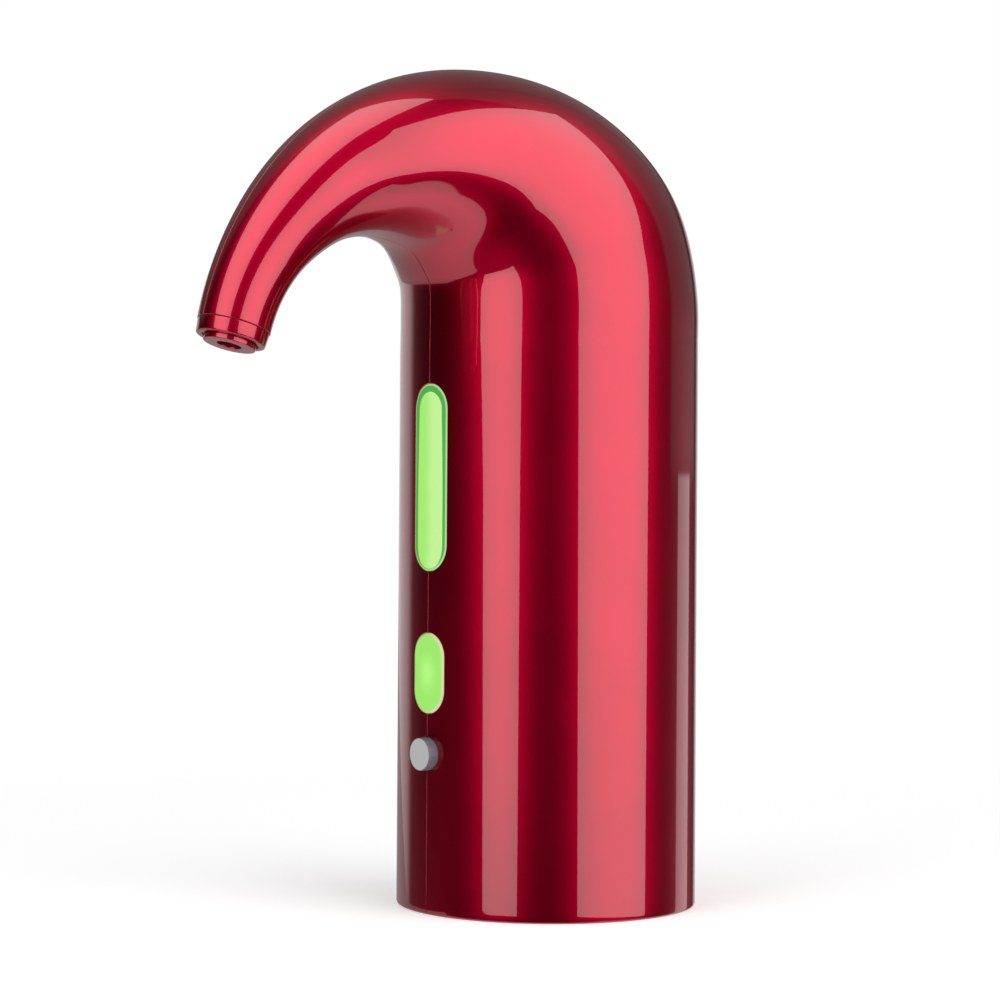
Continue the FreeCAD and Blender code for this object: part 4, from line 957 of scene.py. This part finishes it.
def studio_sheet(scene, name, points, quads, material):
    """A sheet of the studio, which isn't part of the object."""
    mesh = bpy.data.meshes.new(name)
    mesh.from_pydata(points, [], quads)
    mesh.materials.append(material)
    sheet = bpy.data.objects.new(name, mesh)
    scene.collection.objects.link(sheet)
    return sheet


class AERATOR_OT_studio(bpy.types.Operator):
    """Set up the camera, the softboxes, the world and the floor"""
    bl_idname = "aerator.studio"
    bl_label = "Studio"

    def execute(self, context):
        scene = context.scene
        studio = scene.studio_settings
        add_camera(scene, studio)
        scene.view_settings.view_transform = "Standard"
        add_softbox(scene, studio, "softbox_left", *LEFT_SOFTBOX)
        add_softbox(scene, studio, "softbox_right", *RIGHT_SOFTBOX)
        self.add_world(scene, studio.azimuth)
        self.add_floor(scene)
        return {"FINISHED"}

    def add_world(self, scene, azimuth):
        """White to the camera, and a plain grey to diffuse surfaces.

        Reflections see a pale table under and in front of the object, a low backdrop and the edge of a
        stand behind it, a dim wall on the right, a dim ceiling, and else a dark room. The table lies
        inside four slanted planes, and it is brighter to the right and towards the camera.
        """
        world = bpy.data.worlds.new("studio")
        scene.world = world
        world.use_nodes = True
        sky = NodeTree(world.node_tree)
        background = sky.nodes["Background"]
        camera_ray = sky.node("ShaderNodeLightPath", output="Is Camera Ray")
        diffuse_ray = sky.node("ShaderNodeLightPath", output="Is Diffuse Ray")
        x, y, z = sky.axes("Generated")
        right = x * math.cos(azimuth) + y * math.sin(azimuth)
        near = x * math.sin(azimuth) - y * math.cos(azimuth)
        low = 1.0 - z.above(math.sin(math.radians(9.0)), math.sin(math.radians(14.0)))
        backdrop = self.patch(x, y, azimuth, *BACKDROP) * low * BACKDROP_LEVEL
        stand = self.patch(x, y, azimuth, *STAND) * (1.0 - z.above(0.014, 0.018)) * STAND_LEVEL
        side = self.patch(x, y, azimuth, *SIDE_WALL) * z.above(0.0, 0.03)
        dome = self.patch(x, y, azimuth, *CEILING) * z.above(0.2, 0.35)
        ceiling = side.at_least(dome) * CEILING_LEVEL
        front_edge = (z * -0.62).at_least(right) - near
        inside = front_edge.at_most(z * -1.45 - right).at_most(right - z * 5.0)
        table = inside.above(-0.01, 0.02)
        table_level = (1.08 + 0.35 * right + 0.72 * near).at_most(1.4).at_least(0.25)
        reflected = (backdrop + stand + ceiling) * (1.0 - table) + table * table_level
        level = diffuse_ray * AMBIENT_LEVEL + (1.0 - diffuse_ray) * reflected.at_least(ROOM_LEVEL)
        level = camera_ray + (1.0 - camera_ray) * level
        background.inputs["Color"].default_value = WHITE
        sky.links.new(level.socket, background.inputs["Strength"])

    def patch(self, x, y, azimuth, first, last, soft):
        """1 for level directions between two bearings in degrees to the right of the camera, else 0."""
        middle = azimuth + math.radians((first + last) / 2)
        half = abs(last - first) / 2
        along = x * math.sin(middle) - y * math.cos(middle)
        across = x * math.cos(middle) + y * math.sin(middle)
        off = abs(along.arctan2(across) - math.pi / 2)
        return 1.0 - off.above(math.radians(half - soft), math.radians(half + soft))

    def add_floor(self, scene):
        """A large pale disc that takes the object's soft shadow, turns plain white further off and is clear
        from below."""
        finish = Finish("studio_floor", (0.8, 0.8, 0.8), 0.8)
        seen = finish.node("ShaderNodeLightPath", output="Is Camera Ray")
        x, y, z = finish.axes()
        far = ((x * x + y * y) ** 0.5).above(0.1, 0.4)
        tone = finish.mix(finish.noise(8.0, 2.0), (0.79, 0.79, 0.79), (0.81, 0.81, 0.81))
        finish.feed("Base Color", tone)
        near = Value(finish, finish.shader.outputs[0])
        plain = finish.node("ShaderNodeEmission", inputs={"Color": WHITE, "Strength": 1.0})
        lift = finish.node("ShaderNodeEmission", inputs={"Color": WHITE, "Strength": FLOOR_LIFT})
        lifted = finish.node("ShaderNodeAddShader", inputs={0: near, 1: lift})
        shown = finish.node("ShaderNodeMixShader", inputs={0: seen, 1: near, 2: lifted})
        top = finish.node("ShaderNodeMixShader", inputs={0: far * seen, 1: shown, 2: plain})
        underside = finish.node("ShaderNodeNewGeometry", output="Backfacing")
        clear = finish.node("ShaderNodeBsdfTransparent")
        total = finish.node("ShaderNodeMixShader", inputs={0: underside, 1: top, 2: clear})
        finish.links.new(total.socket, finish.nodes["Material Output"].inputs["Surface"])
        turn = np.linspace(0.0, 2 * math.pi, 65)
        radius = np.array([0.0, 0.2, 1.0, 6.0])[:, None]
        sheet = np.stack([radius * np.cos(turn), radius * np.sin(turn), np.zeros((4, 65)) - 0.00005], axis=-1)
        floor = studio_sheet(scene, "floor", sheet.reshape(-1, 3), grid_quads(4, 65, flip=True), finish.material)
        floor.visible_glossy = False
        floor.visible_shadow = False


class AERATOR_PT_build(bpy.types.Panel):
    """Lists the build steps and the sizes"""
    bl_label = "Wine aerator"
    bl_idname = "AERATOR_PT_build"
    bl_space_type = "VIEW_3D"
    bl_region_type = "UI"
    bl_category = "Aerator"

    def draw(self, context):
        for step in STEPS:
            self.layout.operator(step.bl_idname)
        for place, group in GROUPS.items():
            box = self.layout.box()
            for name in group.__annotations__:
                box.prop(getattr(context.scene, place), name)


GROUPS = {
    "housing_sizes": HousingSizes,
    "front_sizes": FrontSizes,
    "finish_colours": FinishColours,
    "studio_settings": StudioSettings,
}
STEPS = (
    AERATOR_OT_studio,
    AERATOR_OT_housing,
    AERATOR_OT_spout_end,
    AERATOR_OT_window,
    AERATOR_OT_pour_key,
    AERATOR_OT_power_button,
    AERATOR_OT_kept_pieces,
)


def register():
    for name, group in GROUPS.items():
        bpy.utils.register_class(group)
        setattr(bpy.types.Scene, name, PointerProperty(type=group))
    for step in STEPS:
        bpy.utils.register_class(step)
    bpy.utils.register_class(AERATOR_PT_build)


def unregister():
    bpy.utils.unregister_class(AERATOR_PT_build)
    for step in reversed(STEPS):
        bpy.utils.unregister_class(step)
    for name, group in GROUPS.items():
        delattr(bpy.types.Scene, name)
        bpy.utils.unregister_class(group)


def main():
    """Build everything."""
    register()
    for step in STEPS:
        family, name = step.bl_idname.split(".")
        getattr(getattr(bpy.ops, family), name)()


if __name__ == "__main__":
    main()
